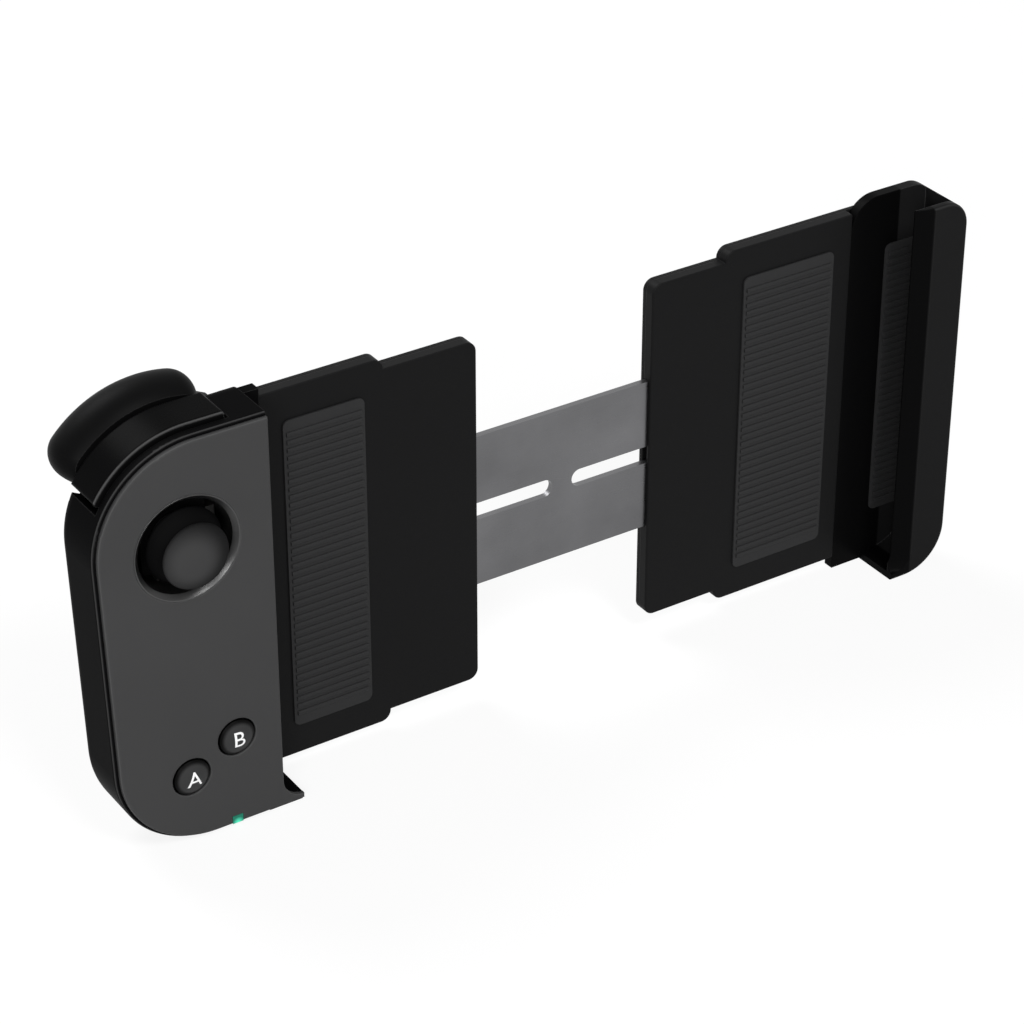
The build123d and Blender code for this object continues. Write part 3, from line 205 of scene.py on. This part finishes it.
# Grain of a moulded surface: fine pits, with slow cloudiness where hands have polished it
moulded, entry, leave = new_group(
    "moulded_grain",
    {"Grain per metre": 5000.0, "Roughness": 0.5, "Cloudiness": 0.06},
    {"Roughness": "NodeSocketFloat", "Height": "NodeSocketFloat", "Cloud": "NodeSocketFloat"},
)
where = object_place(moulded)
pits = noise_node(moulded, where, entry.outputs["Grain per metre"], 2.0)
cloud = noise_node(moulded, where, CLOUDS_PER_METRE, 3.0)
swing = math_node(moulded, "SUBTRACT", cloud, 0.5)
swing = math_node(moulded, "MULTIPLY", swing, entry.outputs["Cloudiness"])
speck = math_node(moulded, "SUBTRACT", pits, 0.5)
speck = math_node(moulded, "MULTIPLY", speck, PIT_SWING)
total = math_node(moulded, "ADD", entry.outputs["Roughness"], swing)
moulded.links.new(math_node(moulded, "ADD", total, speck), leave.inputs["Roughness"])
moulded.links.new(pits, leave.inputs["Height"])
moulded.links.new(cloud, leave.inputs["Cloud"])

# Edge mask: the tool's small edge radius, and how near a place is to such an edge. The mask
# smooths worn edges and lays a painted highlight along them
edge_mask_group, entry, leave = new_group(
    "edge_mask_and_highlight",
    {"Radius": 0.00025, "Wear": 0.5},
    {"Normal": "NodeSocketVector", "Edge": "NodeSocketFloat"},
)
rounding = edge_mask_group.nodes.new("ShaderNodeBevel")
rounding.samples = 6
edge_mask_group.links.new(entry.outputs["Radius"], rounding.inputs["Radius"])
flat = edge_mask_group.nodes.new("ShaderNodeNewGeometry").outputs["Normal"]
meeting = edge_mask_group.nodes.new("ShaderNodeVectorMath")
meeting.operation = "DOT_PRODUCT"
edge_mask_group.links.new(rounding.outputs["Normal"], meeting.inputs[0])
edge_mask_group.links.new(flat, meeting.inputs[1])
turned = math_node(edge_mask_group, "SUBTRACT", 1.0, meeting.outputs["Value"])
turned = math_node(edge_mask_group, "MULTIPLY", turned, EDGE_GAIN, clamp=True)
turned = math_node(edge_mask_group, "MULTIPLY", turned, entry.outputs["Wear"])
edge_mask_group.links.new(turned, leave.inputs["Edge"])
edge_mask_group.links.new(rounding.outputs["Normal"], leave.inputs["Normal"])

# Front rounding: 1 on the rounded edge between a front face and the sides, where a painted
# highlight line is laid
rounded, entry, leave = new_group(
    "front_rounding", {"Turned": 0.62, "Reach": 0.3}, {"Mask": "NodeSocketFloat"}
)
facing = rounded.nodes.new("ShaderNodeSeparateXYZ")
rounded.links.new(rounded.nodes.new("ShaderNodeTexCoord").outputs["Normal"], facing.inputs[0])
away = math_node(rounded, "ADD", facing.outputs["Y"], entry.outputs["Turned"])
away = math_node(rounded, "ABSOLUTE", away)
away = math_node(rounded, "DIVIDE", away, entry.outputs["Reach"])
rounded.links.new(math_node(rounded, "SUBTRACT", 1.0, away, clamp=True), leave.inputs["Mask"])


def new_material(name):
    """A material with its node tree and its Principled shader."""
    material = bpy.data.materials.new(name)
    material.use_nodes = True
    return material, material.node_tree, material.node_tree.nodes["Principled BSDF"]


def bump_surface(tree, shader, height, depth, strength, normal=None):
    """Bumps a shader's surface by a height. The depth is in millimetres."""
    bump = tree.nodes.new("ShaderNodeBump")
    bump.inputs["Distance"].default_value = depth * MM
    bump.inputs["Strength"].default_value = strength
    tree.links.new(height, bump.inputs["Height"])
    if normal:
        tree.links.new(normal, bump.inputs["Normal"])
    tree.links.new(bump.outputs["Normal"], shader.inputs["Normal"])


def two_tones(tree, value, colour, dark, light, start=0.0, end=1.0):
    """A colour that goes from a darker to a lighter tone of it as a value rises."""
    tones = tree.nodes.new("ShaderNodeValToRGB")
    for element, position, tone in zip(tones.color_ramp.elements, (start, end), (dark, light)):
        element.position = position
        element.color = tuple(min(1, part * tone) for part in colour) + (1,)
    tree.links.new(value, tones.inputs["Fac"])
    return tones.outputs["Color"]


def mix_colour(tree, share, under, colour):
    """A plain colour laid over the colour of a socket."""
    mix = tree.nodes.new("ShaderNodeMix")
    mix.data_type = "RGBA"
    tree.links.new(share, mix.inputs["Factor"])
    tree.links.new(under, mix.inputs["A"])
    mix.inputs["B"].default_value = tuple(colour) + (1,)
    return mix.outputs["Result"]


def moulded_material(
    name, colour, roughness, grain=5000.0, cloudiness=0.06, depth=0.02, edge=0.25,
    edge_wear_and_highlight=0.3, edge_highlight=0.01, front_highlight=0.0, **sockets
):
    """Moulded plastic or rubber. Depth of grain and edge radius are in millimetres.

    Edge wear and highlight sets the edge mask, which smooths edges and lays a painted highlight
    on them;
    edge highlight is what that adds to the colour, front highlight the painted highlight along
    the front's rounded edge.
    """
    material, tree, shader = new_material(name)
    surface = group_node(
        tree, moulded, Grain_per_metre=grain, Roughness=roughness, Cloudiness=cloudiness
    )
    rim = group_node(tree, edge_mask_group, Radius=edge * MM, Wear=edge_wear_and_highlight)
    smoothed = math_node(tree, "MULTIPLY", rim.outputs["Edge"], WORN_ROUGHNESS)
    smoothed = math_node(tree, "ADD", smoothed, surface.outputs["Roughness"], clamp=True)
    tree.links.new(smoothed, shader.inputs["Roughness"])
    bump_surface(
        tree, shader, surface.outputs["Height"], depth, GRAIN_STRENGTH, rim.outputs["Normal"]
    )
    tone = two_tones(tree, surface.outputs["Cloud"], colour, CLOUD_DARK, CLOUD_LIGHT)
    # Painted highlight: the colour is lightened along edges by the edge mask
    highlight_colour = [min(1, part + edge_highlight) for part in colour]
    tone = mix_colour(tree, rim.outputs["Edge"], tone, highlight_colour)
    # Painted highlight line along the rounded edge of the front
    if front_highlight:
        front = group_node(tree, rounded)
        tone = mix_colour(tree, front.outputs["Mask"], tone, [part + front_highlight for part in colour])
    tree.links.new(tone, shader.inputs["Base Color"])
    for socket, value in sockets.items():
        shader.inputs[socket.replace("_", " ")].default_value = value
    return material


def dress(material, *names):
    """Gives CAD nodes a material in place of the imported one."""
    for name in names:
        nodes[name].data.materials.clear()
        nodes[name].data.materials.append(material)


# Painted highlights: light lines along its edges and along its rounded front edge
panel_plastic = moulded_material(
    "panel_plastic", PANEL_GREY, 0.6, edge=0.6, edge_wear_and_highlight=1.0, edge_highlight=0.03, front_highlight=0.03,
    Specular_IOR_Level=0.06,
)
dress(panel_plastic, "front_cover")

# Rear housing: deep tub of near-black plastic, moulded in one piece with the phone's channel,
# the shelf under the phone, the wall behind it and the pod that carries the trigger.
SHELL_BLACK = (0.0035, 0.0035, 0.0037)
# Painted highlights: light lines along its edges and along its rounded front edge
shell_plastic = moulded_material(
    "shell_plastic", SHELL_BLACK, 0.38, depth=0.008, edge_wear_and_highlight=0.9, edge_highlight=0.03, front_highlight=0.045,
    Specular_IOR_Level=0.004,
)
dress(shell_plastic, "rear_housing")

# Screws: black plated steel, four through the back of the grip into the front cover's bosses
# and four in each cover of the bracket, all sunk below the surface.
SCREW_BLACK = (0.05, 0.05, 0.052)
screw_black = moulded_material(
    "screw_black", SCREW_BLACK, 0.32, grain=9000.0, depth=0.003, edge=0.08, Metallic=1.0
)
dress(screw_black, "case_screws", "left_bracket_screws", "right_bracket_screws")

# Well ring: black sleeve pressed through the front cover, which stands on the board.
# Its bevel is polished in the tool and catches the lamp, its bore is plain.
STICK_BLACK = (0.003, 0.003, 0.0031)
well_gloss = moulded_material(
    "well_gloss", STICK_BLACK, 0.36, depth=0.0, cloudiness=0.0, edge=0.15, edge_wear_and_highlight=0.0,
    Specular_IOR_Level=1.0,
)
dress(well_gloss, "stick_well_ring")

# Stick: a black plastic base clipped to the board, with a gimbal and a rocker of the same
# plastic. Its two sensors are carbon film tracks in dark brown cases on its sides.
SENSOR_BROWN = (0.012, 0.011, 0.01)
stick_plastic = moulded_material("stick_plastic", STICK_BLACK, 0.5, Specular_IOR_Level=0.02)
dress(stick_plastic, "stick_base", "stick_gimbal", "stick_rocker")
sensor_case = moulded_material(
    "sensor_case", SENSOR_BROWN, 0.45, grain=3000.0, Specular_IOR_Level=0.3
)
dress(sensor_case, "stick_potentiometers")

# Turned and pressed steel of the stick, the hinges and the sockets: the pin in the stick,
# the click dome, both hinge pins, the trigger's spring, the shells of the socket and the radio.
PIN_STEEL = (0.42, 0.42, 0.43)
CAN_STEEL = (0.5, 0.5, 0.51)
LINES_PER_METRE = 6000.0
LINE_STRETCH = 0.02         # scale of the noise along the lines
LINE_DEPTH = 0.004          # mm
LINE_STRENGTH = 0.5
STAINS_PER_METRE = 60.0
STAIN_DARK, STAIN_LIGHT = 0.85, 1.1
STAIN_START, STAIN_END = 0.3, 0.7


def metal_material(name, colour, roughness, along, strength=0.3):
    """Drawn or rolled metal, with fine lines along one direction of the part."""
    material, tree, shader = new_material(name)
    shader.inputs["Metallic"].default_value = 1.0
    place = object_place(tree)
    stretch = tree.nodes.new("ShaderNodeMapping")
    stretch.inputs["Scale"].default_value = [LINE_STRETCH if way else 1.0 for way in along]
    tree.links.new(place, stretch.inputs["Vector"])
    lines = noise_node(tree, stretch.outputs["Vector"], LINES_PER_METRE, 3.0)
    stain = noise_node(tree, place, STAINS_PER_METRE, 4.0)
    rough = math_node(tree, "SUBTRACT", lines, 0.5)
    rough = math_node(tree, "MULTIPLY", rough, strength)
    rough = math_node(tree, "ADD", rough, roughness, clamp=True)
    tree.links.new(rough, shader.inputs["Roughness"])
    tone = two_tones(tree, stain, colour, STAIN_DARK, STAIN_LIGHT, STAIN_START, STAIN_END)
    tree.links.new(tone, shader.inputs["Base Color"])
    bump_surface(tree, shader, lines, LINE_DEPTH, LINE_STRENGTH)
    return material


pin_steel = metal_material("pin_steel", PIN_STEEL, 0.3, (0, 1, 0))
dress(
    pin_steel, "stick_shaft", "stick_click_switch", "bumper_pin", "trigger_pin", "trigger_spring"
)
pressed_can = metal_material("pressed_can", CAN_STEEL, 0.3, (0, 0, 1))
dress(pressed_can, "usb_socket", "radio_module")

# Thumb cap: soft dark rubber moulded over a stiff core, pushed onto the stick's pin.
# Its low dome is smooth and matte. Painted shade darkens the dome towards its rim, and the skirt
# behind its rim is painted black as the shadow in the well.
CAP_GREY = (0.042, 0.042, 0.0425)
CAP_RIM_SHADE = (0.008, 0.008, 0.0082)
CAP_UNSHADED_R = 2.4           # painted shade: the middle of the dome stays unshaded as far as this
CAP_SHADED_R = 6.8            # and the rim is fully shaded from here on
CAP_OFF_SIDE = 1.2          # the unshaded middle lies this far to the grip's outer side, towards the key lamp
CAP_RIM_BACK = -10.75       # back of the cap's rim, where the painted shade of the skirt begins, in y
SKIRT_BEFORE, SKIRT_AFTER = 0.25, 0.05
SKIRT_SHADE = (0.0018, 0.0018, 0.0019)
cap_rubber = moulded_material(
    "cap_rubber", CAP_GREY, 0.62, cloudiness=0.12, depth=0.008, edge=0.5, edge_wear_and_highlight=0.0,
    Specular_IOR_Level=0.03,
)


def node_box(node):
    """The lowest and highest corner of a CAD node."""
    return [Vector(corner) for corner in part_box(node)]


def object_axis(tree, axis):
    """One coordinate of a point in the part's own coordinates, in metres."""
    parts = tree.nodes.new("ShaderNodeSeparateXYZ")
    tree.links.new(object_place(tree), parts.inputs["Vector"])
    return parts.outputs[axis]


def blend_to(material, colour, value, start, end):
    """Blends the material's colour to another one as a value goes from start to end."""
    tree = material.node_tree
    base = tree.nodes["Principled BSDF"].inputs["Base Color"]
    share = tree.nodes.new("ShaderNodeMapRange")
    share.interpolation_type = "SMOOTHSTEP"
    share.inputs["From Min"].default_value = start * MM
    share.inputs["From Max"].default_value = end * MM
    tree.links.new(value, share.inputs["Value"])
    under = base.links[0].from_socket
    tree.links.new(mix_colour(tree, share.outputs["Result"], under, colour), base)


def paint_rim_shade(material, node, colour, start, end, off_side=0.0):
    """Paints shade on a round piece between two distances from its axis, which runs along y.

    The place that is left unshaded can lie a little to the grip's outer side, towards the key
    lamp.
    """
    low, high = node_box(node)
    middle = (low + high) / 2
    middle.x -= off_side * MM
    tree = material.node_tree
    flat = tree.nodes.new("ShaderNodeVectorMath")
    flat.operation = "MULTIPLY"
    flat.inputs[1].default_value = (1, 0, 1)
    tree.links.new(object_place(tree), flat.inputs[0])
    away = tree.nodes.new("ShaderNodeVectorMath")
    away.operation = "DISTANCE"
    away.inputs[1].default_value = (middle.x, 0, middle.z)
    tree.links.new(flat.outputs["Vector"], away.inputs[0])
    blend_to(material, colour, away.outputs["Value"], start, end)


# Painted shade: the dome darkens towards its rim
paint_rim_shade(
    cap_rubber, "joystick_cap", CAP_RIM_SHADE, CAP_UNSHADED_R, CAP_SHADED_R, off_side=CAP_OFF_SIDE
)
# Painted shade: the skirt behind the rim is painted black as the shadow in the well
blend_to(
    cap_rubber, SKIRT_SHADE, object_axis(cap_rubber.node_tree, "Y"),
    CAP_RIM_BACK - SKIRT_BEFORE, CAP_RIM_BACK + SKIRT_AFTER,
)
dress(cap_rubber, "joystick_cap")

# Face buttons: domed caps of polished black plastic, held behind the cover by a flange.
# Each has one plain letter printed in white on its crown, and a rubber dome under it.
BUTTON_R = 3.3
BUTTON_RISE = 1.15          # from the button's edge to its crown
BUTTON_GREY = (0.036, 0.036, 0.0365)
BUTTON_SIDE_SHADE = (0.001, 0.001, 0.001)
SIDE_START, SIDE_END = 0.9, 0.2     # painted shade on the button's side, this far inside its edge
DOME_GREY = (0.42, 0.43, 0.43)
LETTER_WHITE = (0.86, 0.86, 0.86)
LETTER_SIZE = 4.1
LETTER_RAISED = 0.15        # above the button's middle
LETTER_THICK = 0.05
LETTER_CURVE_STEPS = 6
LETTER_CUTS = 6             # so that the letter can follow the crown
LETTER_WELD = 0.001
for node in ("button_a", "button_b"):
    gloss = moulded_material(
        f"{node}_gloss", BUTTON_GREY, 0.36, depth=0.0, cloudiness=0.05, edge=0.15, edge_wear_and_highlight=0.0,
        Specular_IOR_Level=0.05,
    )
    # Painted shade: the button's side darkens to black towards its edge
    paint_rim_shade(gloss, node, BUTTON_SIDE_SHADE, BUTTON_R - SIDE_START, BUTTON_R - SIDE_END)
    dress(gloss, node)
dome_rubber = moulded_material(
    "dome_rubber", DOME_GREY, 0.6, grain=2500.0, Specular_IOR_Level=0.3
)
dress(dome_rubber, "button_a_dome", "button_b_dome")
letter_ink = moulded_material(
    "letter_ink", LETTER_WHITE, 0.5, grain=9000.0, depth=0.004, edge=0.02, edge_wear_and_highlight=0.0
)
ball_r = (BUTTON_R**2 + BUTTON_RISE**2) / (2 * BUTTON_RISE) * MM
for letter, node, body in (("A", "button_a", "a_key"), ("B", "button_b", "b_key")):
    low, high = node_box(node)
    middle = (low + high) / 2
    bpy.ops.object.select_all(action="DESELECT")
    bpy.ops.object.text_add()
    piece = bpy.context.object
    piece.name = f"letter_{letter.lower()}"
    piece.data.body = letter
    piece.data.size = LETTER_SIZE * MM
    piece.data.extrude = LETTER_THICK * MM / 2
    piece.data.resolution_u = LETTER_CURVE_STEPS
    piece.data.align_x = "CENTER"
    piece.data.align_y = "CENTER"
    bpy.ops.object.convert(target="MESH")
    piece = bpy.context.object
    bpy.ops.object.mode_set(mode="EDIT")
    bpy.ops.mesh.select_all(action="SELECT")
    bpy.ops.mesh.remove_doubles(threshold=LETTER_WELD * MM)
    bpy.ops.mesh.quads_convert_to_tris()
    bpy.ops.mesh.subdivide(number_cuts=LETTER_CUTS)
    bpy.ops.object.mode_set(mode="OBJECT")
    corners = [vertex.co.copy() for vertex in piece.data.vertices]
    lowest = Vector([min(corner[axis] for corner in corners) for axis in range(3)])
    highest = Vector([max(corner[axis] for corner in corners) for axis in range(3)])
    centre = (lowest + highest) / 2
    for vertex in piece.data.vertices:
        across, up, out_of = vertex.co - centre
        up += LETTER_RAISED * MM
        sunk = ball_r - (ball_r**2 - across**2 - up**2) ** 0.5
        vertex.co = (middle.x + across, low.y + sunk - out_of, middle.z + up)
    piece.data.materials.clear()
    piece.data.materials.append(letter_ink)
    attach(piece, body)

# Bumper: curved bar of black plastic round the top corner, hinged on a steel pin
# inside the case and held out by a small side-pressed switch.
SHOULDER_BLACK = (0.0025, 0.0025, 0.0026)
# Painted highlights: light lines along its edges and along its rounded front edge
shoulder_plastic = moulded_material(
    "shoulder_plastic", SHOULDER_BLACK, 0.27, depth=0.003, edge=0.22, edge_wear_and_highlight=1.0,
    edge_highlight=0.04, front_highlight=0.075, Specular_IOR_Level=0.01,
)
dress(shoulder_plastic, "bumper_l1")

# Trigger: domed lobe behind the bumper, of the same plastic with a satin finish.
# It turns on its own pin in the pod, against a torsion spring.
# Painted highlights: light lines along its edges
trigger_plastic = moulded_material(
    "trigger_plastic", SHOULDER_BLACK, 0.45, depth=0.004, cloudiness=0.1, edge=0.2, edge_wear_and_highlight=0.9,
    edge_highlight=0.05, Specular_IOR_Level=0.035,
)
dress(trigger_plastic, "trigger_l2")

# Side switches and the power switch: small cases of black plastic.
# They are soldered to the board, but the trigger's sits in the pod.
SWITCH_BLACK = (0.02, 0.02, 0.021)
switch_case = moulded_material(
    "switch_case", SWITCH_BLACK, 0.45, grain=3500.0, Specular_IOR_Level=0.35
)
dress(switch_case, "bumper_switch", "trigger_switch", "power_switch")

# Main board: glass-fibre laminate under a black solder mask, with copper tracks under the mask.
# Screws through its four holes clamp it between the housing and the front cover.
BOARD_BLACKS = {
    "Color1": (0.009, 0.011, 0.010, 1),
    "Color2": (0.011, 0.013, 0.012, 1),
    "Mortar": (0.022, 0.026, 0.022, 1),
}
TRACK_SCALE = 0.4           # per millimetre
TRACK_WIDTH = 0.03
TRACK_DEPTH = 0.03          # mm
MASK_ROUGHNESS = 0.3
MASK_HAZE = 0.1             # added to the roughness by the haze
HAZE_PER_METRE = 900.0
board_mask, tree, shader = new_material("board_mask")
place = object_place(tree)
turn = tree.nodes.new("ShaderNodeMapping")
turn.inputs["Rotation"].default_value = (radians(90), 0, 0)
turn.inputs["Scale"].default_value = (1 / MM, 1 / MM, 1 / MM)
tree.links.new(place, turn.inputs["Vector"])
tracks = tree.nodes.new("ShaderNodeTexBrick")
tree.links.new(turn.outputs["Vector"], tracks.inputs["Vector"])
tracks.inputs["Scale"].default_value = TRACK_SCALE
tracks.inputs["Mortar Size"].default_value = TRACK_WIDTH
for name, colour in BOARD_BLACKS.items():
    tracks.inputs[name].default_value = colour
tree.links.new(tracks.outputs["Color"], shader.inputs["Base Color"])
bump_surface(tree, shader, tracks.outputs["Fac"], TRACK_DEPTH, 1.0)
haze = noise_node(tree, place, HAZE_PER_METRE, 2.0)
haze = math_node(tree, "MULTIPLY", haze, MASK_HAZE)
tree.links.new(math_node(tree, "ADD", haze, MASK_ROUGHNESS), shader.inputs["Roughness"])
dress(board_mask, "main_board")

# Battery: flat lithium cell in a heat-sealed foil pouch, taped to the board,
# with a small cream connector beside it.
FOIL_GREY = (0.4, 0.4, 0.41)
CONNECTOR_CREAM = (0.55, 0.52, 0.44)
pouch_foil = metal_material("pouch_foil", FOIL_GREY, 0.38, (0, 0, 1), strength=0.5)
dress(pouch_foil, "battery")
connector_plastic = moulded_material(
    "connector_plastic", CONNECTOR_CREAM, 0.5, Specular_IOR_Level=0.4
)
dress(connector_plastic, "battery_connector")

# Charging socket's contacts: gilded strips on both sides of the tongue inside the shell.
# One strip is made, then copied in a row across the tongue.
GOLD = (0.85, 0.62, 0.25)
SOCKET_TONGUE_THICK = 0.7
CONTACT_SIZE = (0.25, 0.02, 3.2)
CONTACT_INSIDE = 0.7        # from the socket's mouth to the strips
CONTACT_PITCH = 0.45
CONTACTS_A_SIDE = 8
CONTACT_BEVEL = 0.006


def plain_block(low, high):
    """A block between two corners, with its place in its mesh."""
    bpy.ops.object.select_all(action="DESELECT")
    bpy.ops.mesh.primitive_cube_add(size=1, location=(low + high) / 2)
    block = bpy.context.object
    block.scale = high - low
    bpy.ops.object.transform_apply(location=True, rotation=True, scale=True)
    return block


def copy_in_row(piece, count, step):
    """Repeats a piece, which is the active one, by a constant step."""
    row = piece.modifiers.new("row", "ARRAY")
    row.count = count
    row.use_relative_offset = False
    row.use_constant_offset = True
    row.constant_offset_displace = step
    bpy.ops.object.modifier_apply(modifier="row")


low, high = node_box("usb_socket")
middle = (low + high) / 2
half_size = Vector(CONTACT_SIZE) * MM / 2
gilding = metal_material("contact_gilding", GOLD, 0.28, (0, 0, 1))
for label, side in (("front", -1), ("back", 1)):
    centre = Vector((
        middle.x - CONTACT_PITCH * (CONTACTS_A_SIDE - 1) / 2 * MM,
        middle.y + side * (SOCKET_TONGUE_THICK + CONTACT_SIZE[1]) / 2 * MM,
        low.z + (CONTACT_SIZE[2] / 2 + CONTACT_INSIDE) * MM,
    ))
    contact = plain_block(centre - half_size, centre + half_size)
    contact.name = f"socket_contacts_{label}"
    bpy.ops.object.mode_set(mode="EDIT")
    bpy.ops.mesh.select_all(action="SELECT")
    bpy.ops.mesh.bevel(offset=CONTACT_BEVEL * MM, segments=1)
    bpy.ops.object.mode_set(mode="OBJECT")
    copy_in_row(contact, CONTACTS_A_SIDE, (CONTACT_PITCH * MM, 0, 0))
    contact.data.materials.append(gilding)
    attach(contact, "grip")

# Status light: a chip on the board shines through a clear bar,
# which shows as a small green window at the panel's lower edge.
BAR_GREEN = (0.004, 0.14, 0.09)
LIGHT_GREEN = (0.12, 0.95, 0.6, 1)
LIGHT_R = 1.1               # the lit spot fades out at this distance from its middle
LIGHT_MIDDLE = 0.95         # strength in the middle of the spot
LIGHT_ROUND = 0.03          # and beyond its edge
light_green = moulded_material(
    "light_green", BAR_GREEN, 0.3, depth=0.0, edge=0.05, edge_wear_and_highlight=0.0, Specular_IOR_Level=0.2
)
tree = light_green.node_tree
shader = tree.nodes["Principled BSDF"]
low, high = node_box("light_pipe")
spot = tree.nodes.new("ShaderNodeVectorMath")
spot.operation = "DISTANCE"
tree.links.new(object_place(tree), spot.inputs[0])
spot.inputs[1].default_value = ((low.x + high.x) / 2, low.y, low.z)
fade = tree.nodes.new("ShaderNodeMapRange")
fade.inputs["From Max"].default_value = LIGHT_R * MM
fade.inputs["To Min"].default_value = LIGHT_MIDDLE
fade.inputs["To Max"].default_value = LIGHT_ROUND
tree.links.new(spot.outputs["Value"], fade.inputs["Value"])
tree.links.new(fade.outputs["Result"], shader.inputs["Emission Strength"])
shader.inputs["Emission Color"].default_value = LIGHT_GREEN
dress(light_green, "light_pipe", "status_light")

# Power key: oblong push key of polished plastic in the grip's back.
# It presses the power switch under it on the board.
POWER_BLACK = (0.012, 0.012, 0.0125)
power_gloss = moulded_material(
    "power_gloss", POWER_BLACK, 0.2, depth=0.002, edge=0.2, Specular_IOR_Level=0.4
)
dress(power_gloss, "power_key")

# Telescopic bracket: a stepped plate and cover behind each end of the phone, screwed together.
# They are moulded in black plastic, a little coarser in grain than the grip.
BRACKET_BLACK = (0.0055, 0.0055, 0.0057)
bracket_plastic = moulded_material(
    "bracket_plastic", BRACKET_BLACK, 0.5, grain=3500.0, depth=0.025, edge=0.3,
    Specular_IOR_Level=0.06,
)
for half in ("left", "right"):
    dress(bracket_plastic, f"{half}_bracket_plate", f"{half}_bracket_cover")

# Slide rail: flat steel strip with two slots, tumbled and plated dark, that runs in both halves
# and is held by small felt-like friction pads.
RAIL_GREY = (0.16, 0.16, 0.165)
FELT_BLACK = (0.02, 0.02, 0.021)
rail_steel = metal_material("rail_steel", RAIL_GREY, 0.34, (1, 0, 0), strength=0.45)
dress(rail_steel, "slide_rail")
friction_felt = moulded_material(
    "friction_felt", FELT_BLACK, 0.9, grain=1500.0, depth=0.08, edge=0.05
)
dress(friction_felt, "left_friction_pads", "right_friction_pads")

# Clamp: black channel with a sloped lip that hooks over the phone's far end.
# Painted shade darkens the slope and the inside to black, inwards from the lip's flat face;
# painted highlights run along its edges.
CLAMP_FACE_BLACK = (0.0105, 0.0105, 0.0107)
CLAMP_SLOPE_SHADE = (0.0022, 0.0022, 0.0023)
LIP_WIDE = 7.8              # flat face of the lip, from the clamp's outer end
LIP_BLEND = 0.4             # from the face to the painted shade on the slope
clamp_plastic = moulded_material(
    "clamp_plastic", CLAMP_FACE_BLACK, 0.38, depth=0.008, edge_wear_and_highlight=0.9, edge_highlight=0.05, front_highlight=0.02,
    Specular_IOR_Level=0.015,
)
low, high = node_box("clamp_body")
lip_start = high.x / MM - LIP_WIDE
# Painted shade on the lip's slope and the inside of the clamp
blend_to(
    clamp_plastic, CLAMP_SLOPE_SHADE, object_axis(clamp_plastic.node_tree, "X"),
    lip_start, lip_start - LIP_BLEND,
)
dress(clamp_plastic, "clamp_body")

# Phone pads: strips of soft ribbed rubber glued where the phone bears on the channel,
# the two plates and the clamp. Each has a thin base with rounded ribs across it.
PAD_BLACK = (0.014, 0.014, 0.0145)
RIB_PITCH = 1.5
RIB_WIDE = 0.8
RIB_SUNK_SHARE = 0.1        # of the strip's whole thickness, as are the next two
RIB_ROUND_SHARE = 0.3
PAD_BASE_SHARE = 0.55
RIB_ROUND_STEPS = 4
PAD_CORNER_R = 1.2
PAD_CORNER_STEPS = 5
SMOOTH_BELOW = 40           # degrees between two faces
pad_rubber = moulded_material(
    "pad_rubber", PAD_BLACK, 0.75, grain=4000.0, edge=0.05, edge_wear_and_highlight=0.1, Specular_IOR_Level=0.25
)


def round_edges(piece, across, radius, segments):
    """Rounds the edges that run along one axis of the part."""
    bpy.ops.object.mode_set(mode="EDIT")
    bpy.ops.mesh.select_mode(type="EDGE")
    bpy.ops.mesh.select_all(action="DESELECT")
    bpy.ops.object.mode_set(mode="OBJECT")
    points = piece.data.vertices
    for edge in piece.data.edges:
        way = points[edge.vertices[1]].co - points[edge.vertices[0]].co
        edge.select = abs(way[across]) > 0.9 * way.length
    bpy.ops.object.mode_set(mode="EDIT")
    bpy.ops.mesh.bevel(offset=radius, segments=segments)
    bpy.ops.object.mode_set(mode="OBJECT")


for node, body, thin, facing in (
    ("left_plate_pad", "grip", 1, -1),
    ("right_plate_pad", "clamp", 1, -1),
    ("channel_pad", "grip", 0, 1),
    ("clamp_end_pad", "clamp", 0, -1),
    ("clamp_back_pad", "clamp", 1, -1),
):
    low, high = node_box(node)
    wide = 1 - thin
    thick = high[thin] - low[thin]
    base_low, base_high = low.copy(), high.copy()
    rib_low, rib_high = low.copy(), high.copy()
    if facing < 0:
        base_low[thin] = high[thin] - thick * PAD_BASE_SHARE
        rib_high[thin] = base_low[thin] + thick * RIB_SUNK_SHARE
    else:
        base_high[thin] = low[thin] + thick * PAD_BASE_SHARE
        rib_low[thin] = base_high[thin] - thick * RIB_SUNK_SHARE
    pad = plain_block(base_low, base_high)
    pad.name = f"{node}_ribbed"
    round_edges(pad, thin, PAD_CORNER_R * MM, PAD_CORNER_STEPS)
    margin = PAD_CORNER_R * MM / 2
    rib_low[wide] += margin
    rib_high[wide] -= margin
    ribs = int((high.z - low.z - 2 * PAD_CORNER_R * MM) / (RIB_PITCH * MM))
    first = (low.z + high.z) / 2 - (ribs - 1) * RIB_PITCH * MM / 2
    rib_low.z = first - RIB_WIDE * MM / 2
    rib_high.z = first + RIB_WIDE * MM / 2
    rib = plain_block(rib_low, rib_high)
    round_edges(rib, wide, thick * RIB_ROUND_SHARE, RIB_ROUND_STEPS)
    copy_in_row(rib, ribs, (0, 0, RIB_PITCH * MM))
    bpy.ops.object.select_all(action="DESELECT")
    rib.select_set(True)
    pad.select_set(True)
    bpy.context.view_layer.objects.active = pad
    bpy.ops.object.join()
    bpy.ops.object.shade_smooth_by_angle(angle=radians(SMOOTH_BELOW))
    pad.data.materials.clear()
    pad.data.materials.append(pad_rubber)
    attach(pad, body)
    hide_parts(node)
